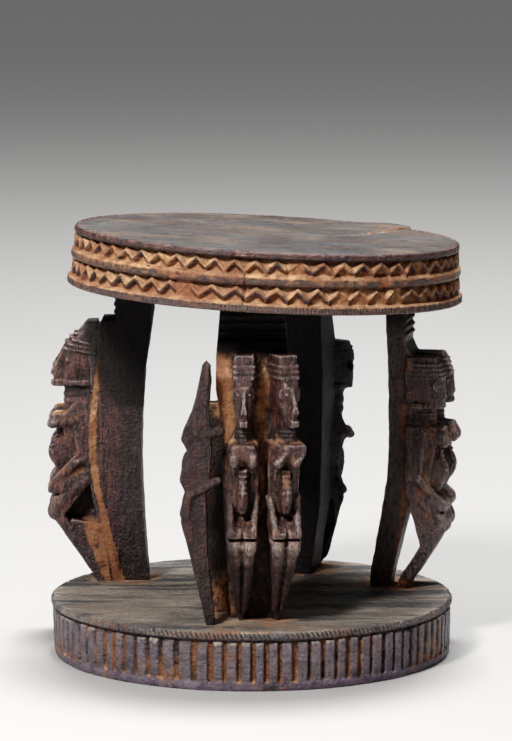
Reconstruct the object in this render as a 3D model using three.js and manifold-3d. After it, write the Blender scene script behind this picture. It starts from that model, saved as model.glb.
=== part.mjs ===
// A caryatid stool carved from one log: round base, round tilted seat, and four posts
// with figures on their outer sides. Millimetres, +Z up, origin at the centre of the underside.
import * as THREE from 'three';
import { mergeVertices } from 'three/addons/utils/BufferGeometryUtils.js';
import Module from 'manifold-3d';

const wasm = await Module();
wasm.setup();

// Base
const BASE_HEIGHT = 48.8;
const BASE_FOOT_RADIUS = 169;
const BASE_TOP_RADIUS = 171.8;
const BASE_SIDES = 52;
const BAR_BOTTOM = 8.5;
const BAR_TOP = 41.5;
const BAR_COUNT = 93;
const BAR_DEPTH = 3;

// Seat, carved on a slight tilt
const SEAT_CENTRE = [13.5, 0, 358.5];
const SEAT_TOP_RADIUS = 160.2;
const SEAT_RIM_RADIUS = 167.6;
const SEAT_THICKNESS = 49.5;
const SEAT_ROUNDNESS = 0.98;
const SEAT_DROP_RIGHT = THREE.MathUtils.degToRad(2.95);
const SEAT_DROP_FRONT = THREE.MathUtils.degToRad(0.77);
const TOOTH_COUNT = 58;
const TOOTH_SWING = 3.1;
const TOOTH_RIDGE = 2.5;
const TOOTH_RELIEF = 2.2;

// Posts: origin of the ground behind the figures, and the way the post faces
const POST_TOP = 322;
const POST_FOOT = 46;
const RIB_COUNT = 4;
const RIB_PITCH = 6.6;
const RIB_DEPTH = 2;
const FRONT_POST = { x: 0.5, y: -122, facing: -90 };
const LEFT_POST = { x: -141.5, y: 76, facing: 180 };
const RIGHT_POST = { x: 143.5, y: 36, facing: -12 };
const REAR_POST = { x: 55, y: 138, facing: 75 };

// Heights of one figure: foot, knee, hip, bust, shoulder, chin, crown
const CARVED_HEIGHTS = [49, 112, 151, 186, 202, 221, 281];

const COLOURS = { wood: '#3d2a22' };

// Turns a closed geometry into a solid that can be joined and cut
function solidOf(geometry) {
  const bare = geometry.clone();
  bare.deleteAttribute('normal');
  bare.deleteAttribute('uv');
  const merged = mergeVertices(bare, 1e-4);
  const corners = merged.index.array;
  const triVerts = [];
  for (let i = 0; i < corners.length; i += 3) {
    const [a, b, c] = corners.slice(i, i + 3);
    if (a !== b && b !== c && c !== a) {
      triVerts.push(a, b, c);
    }
  }
  return new wasm.Manifold(new wasm.Mesh({
    numProp: 3,
    vertProperties: new Float32Array(merged.attributes.position.array),
    triVerts: new Uint32Array(triVerts),
  }));
}

function geometryOf(solid) {
  const mesh = solid.getMesh();
  const geometry = new THREE.BufferGeometry();
  geometry.setAttribute('position', new THREE.BufferAttribute(new Float32Array(mesh.vertProperties), 3));
  geometry.setIndex(new THREE.BufferAttribute(new Uint32Array(mesh.triVerts), 1));
  return geometry;
}

function joined(solids) {
  return solids.reduce((whole, solid) => whole.add(solid));
}

// Moves every vertex of a solid: move is a function that changes a Vector3
function reshaped(solid, move) {
  const geometry = geometryOf(solid);
  const place = geometry.attributes.position;
  const point = new THREE.Vector3();
  for (let i = 0; i < place.count; i += 1) {
    move(point.fromBufferAttribute(place, i));
    place.setXYZ(i, point.x, point.y, point.z);
  }
  return solidOf(geometry);
}

// Three ways to cut a block: from the side (forward, up), from the front (across, up), and
// from above (forward, across)
function extruded(outline, from, to, axes) {
  const shape = new THREE.Shape(outline.map(([a, b]) => new THREE.Vector2(a, b)));
  const geometry = new THREE.ExtrudeGeometry(shape, { depth: to - from, bevelEnabled: false });
  geometry.translate(0, 0, from);
  return solidOf(geometry.applyMatrix4(new THREE.Matrix4().makeBasis(...axes)));
}

const FORWARD = new THREE.Vector3(1, 0, 0);
const ACROSS = new THREE.Vector3(0, 1, 0);
const UP = new THREE.Vector3(0, 0, 1);

function fromSide(outline, left, right) {
  return extruded(outline, -right, -left, [FORWARD, UP, ACROSS.clone().negate()]);
}

function fromFront(outline, back, front) {
  return extruded(outline, back, front, [ACROSS, UP, FORWARD]);
}

function fromPlan(outline, bottom, top) {
  return extruded(outline, bottom, top, [FORWARD, ACROSS, UP]);
}

// An outline with the same half width on both sides: rows of [height, half width]
function evenOutline(rows) {
  const right = rows.map(([height, half]) => [half, height]);
  const left = rows.map(([height, half]) => [-half, height]).reverse();
  return [...right, ...left];
}

// A plan outline with the same half width on both sides: rows of [forward, half width]
function evenPlan(rows) {
  const right = rows.map(([forward, half]) => [forward, -half]);
  const left = rows.map(([forward, half]) => [forward, half]).reverse();
  return [...right, ...left];
}

// A straight limb with flat facets between two points
function limb(from, to, startRadius, endRadius, squash = 1, sides = 6) {
  const start = new THREE.Vector3(...from);
  const end = new THREE.Vector3(...to);
  const geometry = new THREE.CylinderGeometry(endRadius, startRadius, start.distanceTo(end), sides);
  geometry.scale(1, 1, squash);
  const way = end.clone().sub(start).normalize();
  const side = new THREE.Vector3().crossVectors(way, ACROSS).normalize();
  const flat = new THREE.Vector3().crossVectors(side, way);
  geometry.applyMatrix4(new THREE.Matrix4().makeBasis(side, way, flat));
  geometry.translate(...start.add(end).multiplyScalar(0.5).toArray());
  return solidOf(geometry);
}

// One figure, forward along X, up along Z, its back in the ground at X = 0

// Heights of the three bands round the brow, with the grooves between them
const BAND_EDGES = [256, 259, 260, 262.6, 263.6, 266];
const BROW_SLOPE = 0.95;

// The crown runs back from the brow: a sloping cap, or a blunt one where crownFront is larger
function head({ crownFront = 2, bands = BAND_EDGES } = {}) {
  const brow = bands.map((height, edge) => {
    const relief = edge % 2 === 0 ? 0.6 : -0.8;
    return [22.5 - BROW_SLOPE * (height - bands[0]) + relief, height];
  });
  const temples = bands.map((height, edge) => [height, edge % 2 === 0 ? 10.8 : 9.4]);
  const profile = [[-8, 221], [24, 221], [25.5, 232], [23, 249], ...brow, [crownFront, 281], [-8, 281]];
  const skull = fromSide(profile, -12, 12)
    .intersect(fromFront(evenOutline([[221, 7], [232, 10], ...temples, [281, 8]]), -10, 30))
    .intersect(fromPlan(evenPlan([[-9, 12], [13, 12], [24, 5.5], [27, 5.5]]), 220, 282));
  const nose = fromSide([[18, 251], [24, 251], [33.5, 236], [33, 231], [18, 229]], -2.1, 2.1);
  const chin = fromSide([[12, 229], [29, 228.5], [33.5, 224], [33.5, 221], [12, 220.5]], -5.5, 5.5);
  return joined([skull, nose, chin]);
}

function torso() {
  const profile = [[-6, 222], [21, 222], [21.5, 204], [23, 202], [23, 183], [20, 148], [-6, 146]];
  const widths = evenOutline([[146, 12], [164, 9], [201, 14.5], [204, 5.2], [224, 5.2]]);
  const trunk = fromSide(profile, -16, 16).intersect(fromFront(widths, -7, 30));
  const back = fromSide([[-7, 140], [3, 140], [3, 201], [-7, 201]], -14, 14);
  const bellyProfile = [[14, 180], [26, 178.5], [33, 167], [37, 163], [35, 158], [29, 152], [14, 148]];
  const belly = fromSide(bellyProfile, -4.6, 4.6);
  const bust = [[12, 204], [29, 202.5], [35.5, 196], [36, 189.5], [32, 185.5], [12, 182]];
  const breasts = fromSide(bust, -14, 14)
    .intersect(fromFront([...evenOutline([[183, 7.5], [192, 13], [202, 11]]), [0, 194]], 8, 40));
  return joined([trunk, back, belly, breasts]);
}

function arms() {
  const profile = [[-6, 202], [5.5, 201], [5, 157], [36, 136], [35, 127], [5, 146], [-6, 146]];
  const side = fromSide(profile, -20, 20);
  return joined([-1, 1].map((way) => {
    const outline = [[9, 203], [15.5, 200], [17.5, 154], [12.5, 126], [6, 126], [11, 154]];
    return side.intersect(fromFront(outline.map(([across, up]) => [way * across, up]), -7, 40));
  }));
}

function legs(withRecess) {
  const front = [
    [-6, 151], [10, 147], [33.5, 124.5], [36.5, 117], [35.5, 108], [-5, 51], [-6, 46], [-19, 46],
  ];
  const hollow = [[-13, 62], [8, 104], [19, 108.5], [0, 137], [-6, 140]];
  const filled = [[-14, 60], [0, 93], [-6, 127]];
  const cleft = [[-0.9, 45], [0, 119], [0.9, 45]];
  return fromSide([...front, ...(withRecess ? hollow : filled)], -15, 15)
    .intersect(fromFront([...evenOutline([[45, 6.6], [112, 13.6], [153, 13.2]]), ...cleft], -22, 40));
}

// Fits a figure to its own post: its heights, how far it stands out at each of them, its lean and turn.
// The head may turn further than the body.
function placedFigure(figure, placing) {
  const { heights, across, reach = [1, 1, 1, 1, 1, 1, 1], lean = 0, turn = 0, headTurn = 0 } = placing;
  const neck = CARVED_HEIGHTS.at(-2);
  return reshaped(figure, (point) => {
    const found = CARVED_HEIGHTS.findIndex((height) => point.z <= height);
    const upper = found < 0 ? CARVED_HEIGHTS.length - 1 : Math.max(1, found);
    const [low, high] = [CARVED_HEIGHTS[upper - 1], CARVED_HEIGHTS[upper]];
    const share = (point.z - low) / (high - low);
    const blend = (values) => values[upper - 1] + share * (values[upper] - values[upper - 1]);
    const out = blend(reach);
    const height = point.z < CARVED_HEIGHTS[0] ? point.z : blend(heights);
    const twist = turn + headTurn * THREE.MathUtils.smoothstep(point.z, neck - 12, neck);
    point.x *= point.x > 0 ? out : 1;
    point.applyAxisAngle(UP, THREE.MathUtils.degToRad(twist));
    point.y += across + lean * (CARVED_HEIGHTS.at(-1) - point.z);
    point.z = height;
  });
}

// Post bodies, seen from the side, the front and above
function postBody({ side, halfWidths, corner, depth }) {
  const plan = evenPlan([[-70, 0], [-depth, 12], [-depth + corner, 40], [10, 40]]);
  return fromSide(side, -40, 40)
    .intersect(fromFront(evenOutline(halfWidths), -70, 10))
    .intersect(fromPlan(plan, POST_FOOT - 1, POST_TOP + 1));
}

// The front edge of a post above its figures, with small ribs across it. Listed upwards.
function ribbedEdge(forward, lowestRib) {
  const ribs = Array.from({ length: RIB_COUNT }, (_, row) => {
    const bottom = lowestRib + row * RIB_PITCH;
    const [crest, top] = [bottom + 0.3 * RIB_PITCH, bottom + 0.7 * RIB_PITCH];
    return [[forward, bottom], [forward + RIB_DEPTH, crest], [forward, top]];
  });
  return [...ribs.flat(), [forward, POST_TOP]];
}

// Sets a solid made in a post's own axes on its place round the base
function onPost(solid, { x, y, facing }) {
  const turn = new THREE.Matrix4().makeRotationZ(THREE.MathUtils.degToRad(facing));
  const geometry = geometryOf(solid).applyMatrix4(turn).translate(x, y, 0);
  return solidOf(geometry);
}

const THICK_SIDE = [
  [-58, POST_TOP], [-57, 285], [-49, 232], [-46.5, 190], [-45.5, 150], [-48, 95], [-52, POST_FOOT],
  [-15, POST_FOOT], [-10, 98], [-3, 118], [1, 151], [0, 192], [-2, 221], [0, 250], [-12, 278],
  [-24, 278],
];
const THIN_SIDE = [
  [-26, POST_TOP], [-25.5, 283], [-23, 231], [-22.5, 181], [-25, 140], [-31, 106], [-39, 62],
  [-40, POST_FOOT],
  [-19, POST_FOOT], [-13, 89], [-9, 130], [-5, 176], [0, 205], [0, 250], [-8, 262],
];

function frontPost() {
  const heights = [49, 112, 143, 178, 198, 212, 270];
  const body = postBody({
    side: [...THICK_SIDE, ...ribbedEdge(-24, 282)],
    halfWidths: [[POST_FOOT, 18], [130, 23], [215, 26], [240, 30], [262, 30], [POST_TOP, 25]],
    corner: 9,
    depth: 58,
  });
  const slab = [[-31, POST_FOOT], [-46, 120], [-46, 165], [-36, 225], [0, 225], [0, POST_FOOT]];
  const backing = fromFront(slab, -48, -36);
  const figure = joined([head(), torso(), arms(), legs(false)]);
  const left = placedFigure(figure, { heights, across: -6.5, lean: -0.012 });
  const right = placedFigure(figure, { heights, across: 23, lean: -0.006, turn: 10, headTurn: 14 });
  return onPost(joined([body, backing, left, right, thinFigure()]), FRONT_POST);
}

// The thin figure on the left side of the front post, arms raised, facing sideways
function thinFigure() {
  const outline = [
    [10, 46], [17, 46], [39, 132], [38.5, 140], [34, 144], [40, 164], [33, 190], [38, 198], [37, 207],
    [29, 224], [25, 240], [21, 260], [15, 263], [9, 258], [8, 226], [11, 204], [15, 190], [18, 168],
    [12, 156], [17, 146], [24, 148], [22, 134], [12, 70],
  ];
  const body = fromSide(outline, -9, 9)
    .intersect(fromFront(evenOutline([[46, 4.5], [130, 7.5], [200, 9], [263, 5]]), 0, 45));
  const reach = limb([30, 0, 199], [-4, 1, 197], 4, 3.5, 1, 4);
  const hip = limb([32, -4, 146], [-4, -4, 162], 4.6, 4, 0.8, 4);
  return reshaped(joined([body, reach, hip]), (point) => {
    point.applyAxisAngle(UP, -Math.PI / 2);
    point.x += 12;
    point.y -= 20;
  });
}

function leftPost() {
  const near = [49, 110, 149, 184, 198, 222, 275];
  const far = [49, 107, 145.5, 181, 195, 219, 272];
  const body = postBody({
    side: [...THICK_SIDE, ...ribbedEdge(-24, 282)],
    halfWidths: [[POST_FOOT, 18], [110, 24], [230, 25], [POST_TOP, 23]],
    corner: 8,
    depth: 58,
  });
  const web = fromSide([[-20, 47], [-8, 47], [20, 98], [18, 106], [2, 137], [-10, 142]], -5, 5);
  const figure = joined([head(), torso(), arms(), legs(true)]);
  const pair = [
    placedFigure(figure, { heights: near, across: -13.4 }),
    placedFigure(figure, { heights: far, across: 13.4 }),
  ];
  return onPost(joined([body, web, ...pair]), LEFT_POST);
}

function rightPost() {
  const near = [49, 103, 135, 170, 189, 205, 252];
  const far = [49, 104, 137, 172, 191, 207, 255];
  const nearReach = [1, 0.85, 0.8, 0.84, 0.84, 0.78, 0.78];
  const farReach = [1, 0.82, 0.85, 0.95, 0.95, 0.98, 0.98];
  const body = postBody({
    side: [...THIN_SIDE, ...ribbedEdge(-8, 266)],
    halfWidths: [[POST_FOOT, 13], [110, 16], [200, 21], [POST_TOP, 22]],
    corner: 8,
    depth: 39,
  });
  const figure = joined([head({ crownFront: 14 }), torso(), arms(), legs(false)]);
  const pair = [
    placedFigure(figure, { heights: near, across: -13.3, reach: nearReach }),
    placedFigure(figure, { heights: far, across: 13.5, reach: farReach }),
  ];
  return onPost(joined([body, ...pair]), RIGHT_POST);
}

// Hidden behind, so this pair is plainer: it stands out less towards the feet
function rearPost() {
  const heights = [49, 104, 122, 160, 170, 206, 250];
  const reach = [0.4, 0.3, 0.5, 0.62, 0.68, 0.85, 0.85];
  const body = postBody({
    side: [...THICK_SIDE, ...ribbedEdge(-24, 282)],
    halfWidths: [[POST_FOOT, 10], [110, 18], [230, 20.5], [POST_TOP, 20.5]],
    corner: 8,
    depth: 58,
  });
  const figure = joined([head({ crownFront: 12, bands: [256, 266] }), torso(), arms(), legs(false)]);
  const pair = [
    placedFigure(figure, { heights, reach, across: -10, turn: -28 }),
    placedFigure(figure, { heights, reach, across: 12, turn: 22 }),
  ];
  return onPost(joined([body, ...pair]), REAR_POST);
}

// Base: a foot band, a ring of upright bars, and a raised ridge above them
function baseBands() {
  const core = BASE_FOOT_RADIUS - 30;
  const points = [
    [0, 0], [BASE_FOOT_RADIUS, 0], [BASE_FOOT_RADIUS + 0.6, BAR_BOTTOM], [core, BAR_BOTTOM],
    [core, BAR_TOP], [BASE_TOP_RADIUS, BAR_TOP], [BASE_TOP_RADIUS - 1.2, BASE_HEIGHT], [0, BASE_HEIGHT],
  ].map(([radius, height]) => new THREE.Vector2(radius, height));
  return solidOf(new THREE.LatheGeometry(points, BASE_SIDES).rotateX(Math.PI / 2));
}

function baseBars() {
  const pitch = (2 * Math.PI) / BAR_COUNT;
  const outline = [];
  for (let bar = 0; bar < BAR_COUNT; bar += 1) {
    const angle = bar * pitch;
    outline.push([angle - 0.34 * pitch, 0], [angle + 0.34 * pitch, 0], [angle + 0.5 * pitch, BAR_DEPTH]);
  }
  const ring = outline.map(([angle, inset]) => {
    const radius = BASE_FOOT_RADIUS - 0.2 - inset;
    return [radius * Math.cos(angle), radius * Math.sin(angle)];
  });
  return reshaped(fromPlan(ring, BAR_BOTTOM - 1, BAR_TOP + 1), (point) => {
    const grown = point.z > BAR_TOP ? (BASE_TOP_RADIUS - 1.4) / BASE_FOOT_RADIUS : 1;
    point.x *= grown;
    point.y *= grown;
  });
}

// Seat: a disc whose rim carries two rings of raised zigzags. Rows run from the underside up:
// radius, depth below the top, and for a zigzag row the ranges of degrees where its teeth are lost
const LOST_UPPER = [[-84.5, -79], [-39, -35]];
const LOST_LOWER = [[-117, -112]];

function zigzagRows(fieldRadius, depth, lost) {
  return [[0, -TOOTH_RIDGE], [TOOTH_RELIEF, 0], [0, TOOTH_RIDGE]].map(([out, up]) => ({
    radius: fieldRadius + out, depth: depth - up, lost, fieldRadius,
  })).reverse();
}

function seat() {
  const lip = SEAT_TOP_RADIUS + 2.6;
  const rows = [
    { radius: 0, depth: 0 }, { radius: SEAT_TOP_RADIUS, depth: 0 }, { radius: lip, depth: 2.2 },
    { radius: lip, depth: 6.2 },
    ...zigzagRows(lip - 2, 12.6, LOST_UPPER),
    { radius: lip - 1.4, depth: 19.2 }, { radius: lip + 1.6, depth: 20.6 },
    { radius: lip + 2, depth: 27.4 }, { radius: lip - 0.6, depth: 28.6 },
    ...zigzagRows(lip + 0.2, 35.4, LOST_LOWER),
    { radius: SEAT_RIM_RADIUS, depth: 42.6 },
    { radius: SEAT_RIM_RADIUS, depth: SEAT_THICKNESS }, { radius: 0, depth: SEAT_THICKNESS },
  ].reverse();
  const profile = rows.map((row) => new THREE.Vector2(row.radius, -row.depth));
  const geometry = new THREE.LatheGeometry(profile, 2 * TOOTH_COUNT).rotateX(Math.PI / 2);
  const place = geometry.attributes.position;
  for (let i = 0; i < place.count; i += 1) {
    const row = rows[i % rows.length];
    const column = Math.floor(i / rows.length) % (2 * TOOTH_COUNT);
    const angle = THREE.MathUtils.radToDeg(Math.atan2(place.getY(i), place.getX(i)));
    if (!row.lost) {
      const even = i - (column % 2) * rows.length;
      place.setXYZ(i, place.getX(even), place.getY(even), place.getZ(even));
    } else if (row.lost.some(([from, to]) => angle > from && angle < to)) {
      const shrink = row.fieldRadius / row.radius;
      place.setXYZ(i, place.getX(i) * shrink, place.getY(i) * shrink, place.getZ(i));
    } else {
      place.setZ(i, place.getZ(i) + (column % 2 === 0 ? TOOTH_SWING : -TOOTH_SWING));
    }
  }
  const crack = limb([-12.5, -173, 4], [-12.5, -167, -60], 2.6, 2.6, 1, 4);
  const split = limb([122, 88.6, -4], [150, 109, -4], 3, 3, 1, 4);
  const disc = solidOf(geometry).subtract(crack).subtract(split);
  return solidOf(geometryOf(disc)
    .scale(1, SEAT_ROUNDNESS, 1)
    .rotateY(SEAT_DROP_RIGHT)
    .rotateX(SEAT_DROP_FRONT)
    .translate(...SEAT_CENTRE));
}

function stool() {
  const posts = [frontPost(), leftPost(), rightPost(), rearPost()];
  const whole = joined([baseBands(), baseBars(), seat(), ...posts]);
  const material = new THREE.MeshStandardMaterial({ color: COLOURS.wood, roughness: 0.6, metalness: 0 });
  material.name = 'wood';
  const mesh = new THREE.Mesh(geometryOf(whole), material);
  mesh.name = 'stool';
  return mesh;
}

const group = new THREE.Group();
group.add(stool());

export default group;
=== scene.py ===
import math

import bmesh
import bpy
import numpy as np
from mathutils import Matrix, Vector


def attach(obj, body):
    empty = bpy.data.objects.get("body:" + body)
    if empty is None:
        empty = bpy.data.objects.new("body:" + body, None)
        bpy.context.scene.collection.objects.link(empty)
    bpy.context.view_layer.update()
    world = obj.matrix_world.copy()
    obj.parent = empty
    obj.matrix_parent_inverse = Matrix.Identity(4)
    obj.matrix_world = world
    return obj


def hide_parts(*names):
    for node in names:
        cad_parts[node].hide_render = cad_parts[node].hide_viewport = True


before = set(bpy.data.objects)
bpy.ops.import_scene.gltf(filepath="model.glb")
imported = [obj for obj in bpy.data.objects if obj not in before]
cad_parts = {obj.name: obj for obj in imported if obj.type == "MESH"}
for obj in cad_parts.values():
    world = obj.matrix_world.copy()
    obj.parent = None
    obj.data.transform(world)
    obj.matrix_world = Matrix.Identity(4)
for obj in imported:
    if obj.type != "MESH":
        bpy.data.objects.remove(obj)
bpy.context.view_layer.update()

bl_info = {
    "name": "Carved Figure Stool",
    "version": (1, 0, 0),
    "blender": (4, 5, 0),
    "location": "3D View > Sidebar > Stool",
    "description": "Builds a round stool carved from one log, with figures on its four posts",
    "category": "Add Mesh",
}

# The pieces are shaped in millimetres and brought to metres when they are finished.
MM = 0.001
FORWARD = Vector((1.0, 0.0, 0.0))
ACROSS = Vector((0.0, 1.0, 0.0))
UP = Vector((0.0, 0.0, 1.0))

# Heights of one figure: foot, knee, hip, bust, shoulder, chin, crown
CARVED_HEIGHTS = (49, 112, 151, 186, 202, 221, 281)
CROWN = 281
CHIN = 221
POST_TOP = 322
POST_FOOT = 44


# Small tools for meshes

def object_from(bm, name="part"):
    mesh = bpy.data.meshes.new(name)
    bm.to_mesh(mesh)
    bm.free()
    made = bpy.data.objects.new(name, mesh)
    bpy.context.scene.collection.objects.link(made)
    return made


def discard(obj):
    mesh = obj.data
    bpy.data.objects.remove(obj)
    bpy.data.meshes.remove(mesh)


def settle(obj):
    """Applies the object's modifiers to its mesh."""
    graph = bpy.context.evaluated_depsgraph_get()
    shaped = bpy.data.meshes.new_from_object(obj.evaluated_get(graph))
    obj.modifiers.clear()
    old = obj.data
    obj.data = shaped
    bpy.data.meshes.remove(old)
    return obj


def gathered(parts, name="part"):
    """Puts several meshes in one, each still a shell of its own."""
    bm = bmesh.new()
    for part in parts:
        bm.from_mesh(part.data)
        discard(part)
    return object_from(bm, name)


def combine(base, other, operation):
    modifier = base.modifiers.new("combine", "BOOLEAN")
    modifier.solver = "MANIFOLD"
    modifier.operation = operation
    modifier.object = other
    settle(base)
    discard(other)
    return base


def overlap(first, *others):
    for other in others:
        combine(first, other, "INTERSECT")
    return first


def fuse(obj, voxel):
    """One even skin over all the shells of a mesh."""
    modifier = obj.modifiers.new("fuse", "REMESH")
    modifier.mode = "VOXEL"
    modifier.voxel_size = voxel
    return settle(obj)


def soften(obj, rounds, factor=0.5):
    modifier = obj.modifiers.new("soften", "SMOOTH")
    modifier.factor = factor
    modifier.iterations = rounds
    return settle(obj)


def thinned(obj, most_triangles):
    """Leaves flat places with fewer faces, so that the piece stays within its count."""
    count = sum(len(face.vertices) - 2 for face in obj.data.polygons)
    if count > most_triangles:
        modifier = obj.modifiers.new("thin", "DECIMATE")
        modifier.ratio = most_triangles / count
        settle(obj)
    return obj


def points_of(obj):
    points = np.empty(3 * len(obj.data.vertices))
    obj.data.vertices.foreach_get("co", points)
    return points.reshape(-1, 3)


def move_points(obj, points):
    obj.data.vertices.foreach_set("co", np.ascontiguousarray(points).ravel())
    obj.data.update()


def normals_of(obj):
    normals = np.empty(3 * len(obj.data.vertices))
    obj.data.vertex_normals.foreach_get("vector", normals)
    return normals.reshape(-1, 3)


def store(obj, name, values):
    attribute = obj.data.attributes.new(name, "FLOAT", "POINT")
    attribute.data.foreach_set("value", np.clip(values, 0, 1).astype(np.float32))


def smoothstep(low, high, value):
    share = np.clip((value - low) / (high - low), 0, 1)
    return share * share * (3 - 2 * share)


def scattered(cells, seed):
    """A repeatable number from 0 to 1 for each cell of a grid."""
    mixed = (cells[..., 0] * 73856093) ^ (cells[..., 1] * 19349663) ^ (cells[..., 2] * 83492791) ^ (seed * 2654435)
    mixed = (mixed ^ (mixed >> 13)) * 1274126177 & 0x7FFFFFFF
    return ((mixed ^ (mixed >> 11)) & 0xFFFFF) / 0xFFFFF


def roughness_at(points, size, seed=0):
    """Soft noise from -1 to 1 at each point, its lumps about `size` across."""
    places = points / size
    cells = np.floor(places).astype(np.int64)
    share = places - cells
    share = share * share * (3 - 2 * share)
    total = np.zeros(len(points))
    for corner in np.ndindex(2, 2, 2):
        weight = np.prod(np.where(np.array(corner) == 1, share, 1 - share), axis=1)
        total += weight * scattered(cells + corner, seed)
    return 2 * total - 1


def scoops_at(points, size, seed=0):
    """Shallow tool scoops, 0 in the middle of each and rising to about 1 at its edges."""
    places = points / size
    nearest = np.rint(places).astype(np.int64)
    best = np.full(len(points), 9.0)
    for corner in np.ndindex(2, 2, 2):
        cells = nearest - 1 + corner
        middle = cells + 0.5 + 0.7 * np.stack([scattered(cells, seed + i) - 0.5 for i in range(3)], axis=-1)
        best = np.minimum(best, np.sum((places - middle) ** 2, axis=1))
    return np.sqrt(best)


def ring_noise(angles, waves, seed):
    """Soft noise from -1 to 1 round a ring, joined without a step."""
    steps = angles / (2 * math.pi) * waves
    cells = np.floor(steps).astype(np.int64)
    share = steps - cells
    share = share * share * (3 - 2 * share)
    values = np.array([2 * ((math.sin(12.9898 * i + 78.233 * seed) * 43758.5453) % 1.0) - 1 for i in range(waves)])
    return (1 - share) * values[cells % waves] + share * values[(cells + 1) % waves]


def hollows(obj, rounds):
    """How far each point lies below the average of its surroundings: above 0 where the surface dips in."""
    mesh = obj.data
    ends = np.empty(2 * len(mesh.edges), np.int64)
    mesh.edges.foreach_get("vertices", ends)
    first, second = ends.reshape(-1, 2).T
    count = len(mesh.vertices)
    neighbours = np.bincount(first, minlength=count) + np.bincount(second, minlength=count)
    neighbours = np.maximum(neighbours, 1)
    start = points_of(obj)
    points = start.copy()
    for _ in range(rounds):
        for axis in range(3):
            column = points[:, axis]
            total = np.bincount(first, column[second], count) + np.bincount(second, column[first], count)
            points[:, axis] = 0.5 * column + 0.5 * total / neighbours
    return np.einsum("ij,ij->i", points - start, normals_of(obj))


# Blocks cut to an outline, as a carver squares up a log

def block(outline, low, high, axes):
    first, second, third = axes
    bm = bmesh.new()
    face = bm.faces.new([bm.verts.new(first * a + second * b + third * low) for a, b in outline])
    drawn = bmesh.ops.extrude_face_region(bm, geom=[face])
    moved = [item for item in drawn["geom"] if isinstance(item, bmesh.types.BMVert)]
    bmesh.ops.translate(bm, vec=third * (high - low), verts=moved)
    bmesh.ops.recalc_face_normals(bm, faces=bm.faces[:])
    return object_from(bm)


def from_side(outline, left, right):
    return block(outline, left, right, (FORWARD, UP, ACROSS))


def from_front(outline, back, front):
    return block(outline, back, front, (ACROSS, UP, FORWARD))


def from_plan(outline, bottom, top):
    return block(outline, bottom, top, (FORWARD, ACROSS, UP))


def even_outline(rows):
    """Rows of (height, half width) as an outline with both sides alike."""
    return [(half, height) for height, half in rows] + [(-half, height) for height, half in reversed(rows)]


def even_plan(rows):
    """Rows of (forward, half width) as a plan with both sides alike."""
    return [(forward, -half) for forward, half in rows] + [(forward, half) for forward, half in reversed(rows)]


def ball(centre, radii, tilt=0.0, turn=0.0, segments=20):
    bm = bmesh.new()
    place = (Matrix.Translation(centre) @ Matrix.Rotation(turn, 4, "Z") @ Matrix.Rotation(tilt, 4, "Y")
             @ Matrix.Diagonal((*radii, 1.0)))
    bmesh.ops.create_uvsphere(bm, u_segments=segments, v_segments=segments // 2, radius=1.0, matrix=place)
    return object_from(bm)


def bar(centre, size, tilt=0.0, turn=0.0, round_by=0.5):
    """A small bar with rounded edges."""
    bm = bmesh.new()
    bmesh.ops.create_cube(bm, size=1.0, matrix=Matrix.Diagonal((*size, 1.0)))
    bmesh.ops.bevel(
        bm, geom=bm.edges[:], offset=round_by, offset_type="OFFSET", affect="EDGES", segments=2,
        profile=0.5, material=-1,
    )
    place = Matrix.Translation(centre) @ Matrix.Rotation(turn, 4, "Z") @ Matrix.Rotation(tilt, 4, "Y")
    bmesh.ops.transform(bm, matrix=place, verts=bm.verts[:])
    return object_from(bm)


def limb(start, end, start_radius, end_radius, flat=1.0, segments=14):
    """A tapering limb with rounded ends. flat narrows it across."""
    start, end = Vector(start), Vector(end)
    along = end - start
    turn = along.to_track_quat("Z", "Y").to_matrix().to_4x4()
    bm = bmesh.new()
    bmesh.ops.create_cone(
        bm, cap_ends=True, segments=segments, radius1=start_radius, radius2=end_radius,
        depth=along.length, matrix=Matrix.Translation((start + end) / 2) @ turn,
    )
    middle = (start + end) / 2
    bmesh.ops.scale(bm, vec=(1.0, flat, 1.0), space=Matrix.Translation(-middle), verts=bm.verts[:])
    cone = object_from(bm)
    ends = [
        ball(start, (start_radius, start_radius * flat, start_radius)),
        ball(end, (end_radius, end_radius * flat, end_radius)),
    ]
    return gathered([cone, *ends])


# One figure, facing forward along X, its back in the ground at X = 0

# Side profiles of the head above the chin: a cap that slopes back, a tall round cap, and a square block
HEADS = {
    "sloped": [(-8, CHIN), (22, CHIN), (24, 231), (23, 249), (22.5, 256), (13, 266), (2, CROWN), (-8, CROWN)],
    "tall": [(-8, CHIN), (21, CHIN), (23.5, 231), (22.5, 249), (21.5, 257), (18, 263), (15, CROWN), (-8, CROWN)],
    "block": [(-8, CHIN), (29, CHIN), (30.5, 236), (29, 257), (26.5, 266), (21.5, CROWN), (-8, CROWN)],
}
HEAD_PLANS = {
    "sloped": [(-9, 11), (6, 11), (13, 10), (18, 7.8), (22, 5), (25, 1.6)],
    "tall": [(-9, 9.4), (5, 9.8), (12, 9.6), (17.5, 8.6), (21, 6.4), (24, 2.6)],
    "block": [(-9, 11), (14, 11), (22, 9.8), (27, 7.4), (31, 3.6)],
}
FACES = {
    "sloped": {"nose": 33.4, "chin": 33.2, "jaw": 10.0, "eye": (21.2, 4.4, 247.4), "socket": (2.8, 2.4)},
    "tall": {"nose": 31.6, "chin": 31.4, "jaw": 6.8, "eye": (21.4, 4.5, 248.6), "socket": (3.5, 3.3)},
    "block": {"nose": 31.6, "chin": 31.0, "jaw": 11.8, "eye": (24.8, 7.4, 248.5), "socket": (4.4, 3.4)},
}
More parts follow.
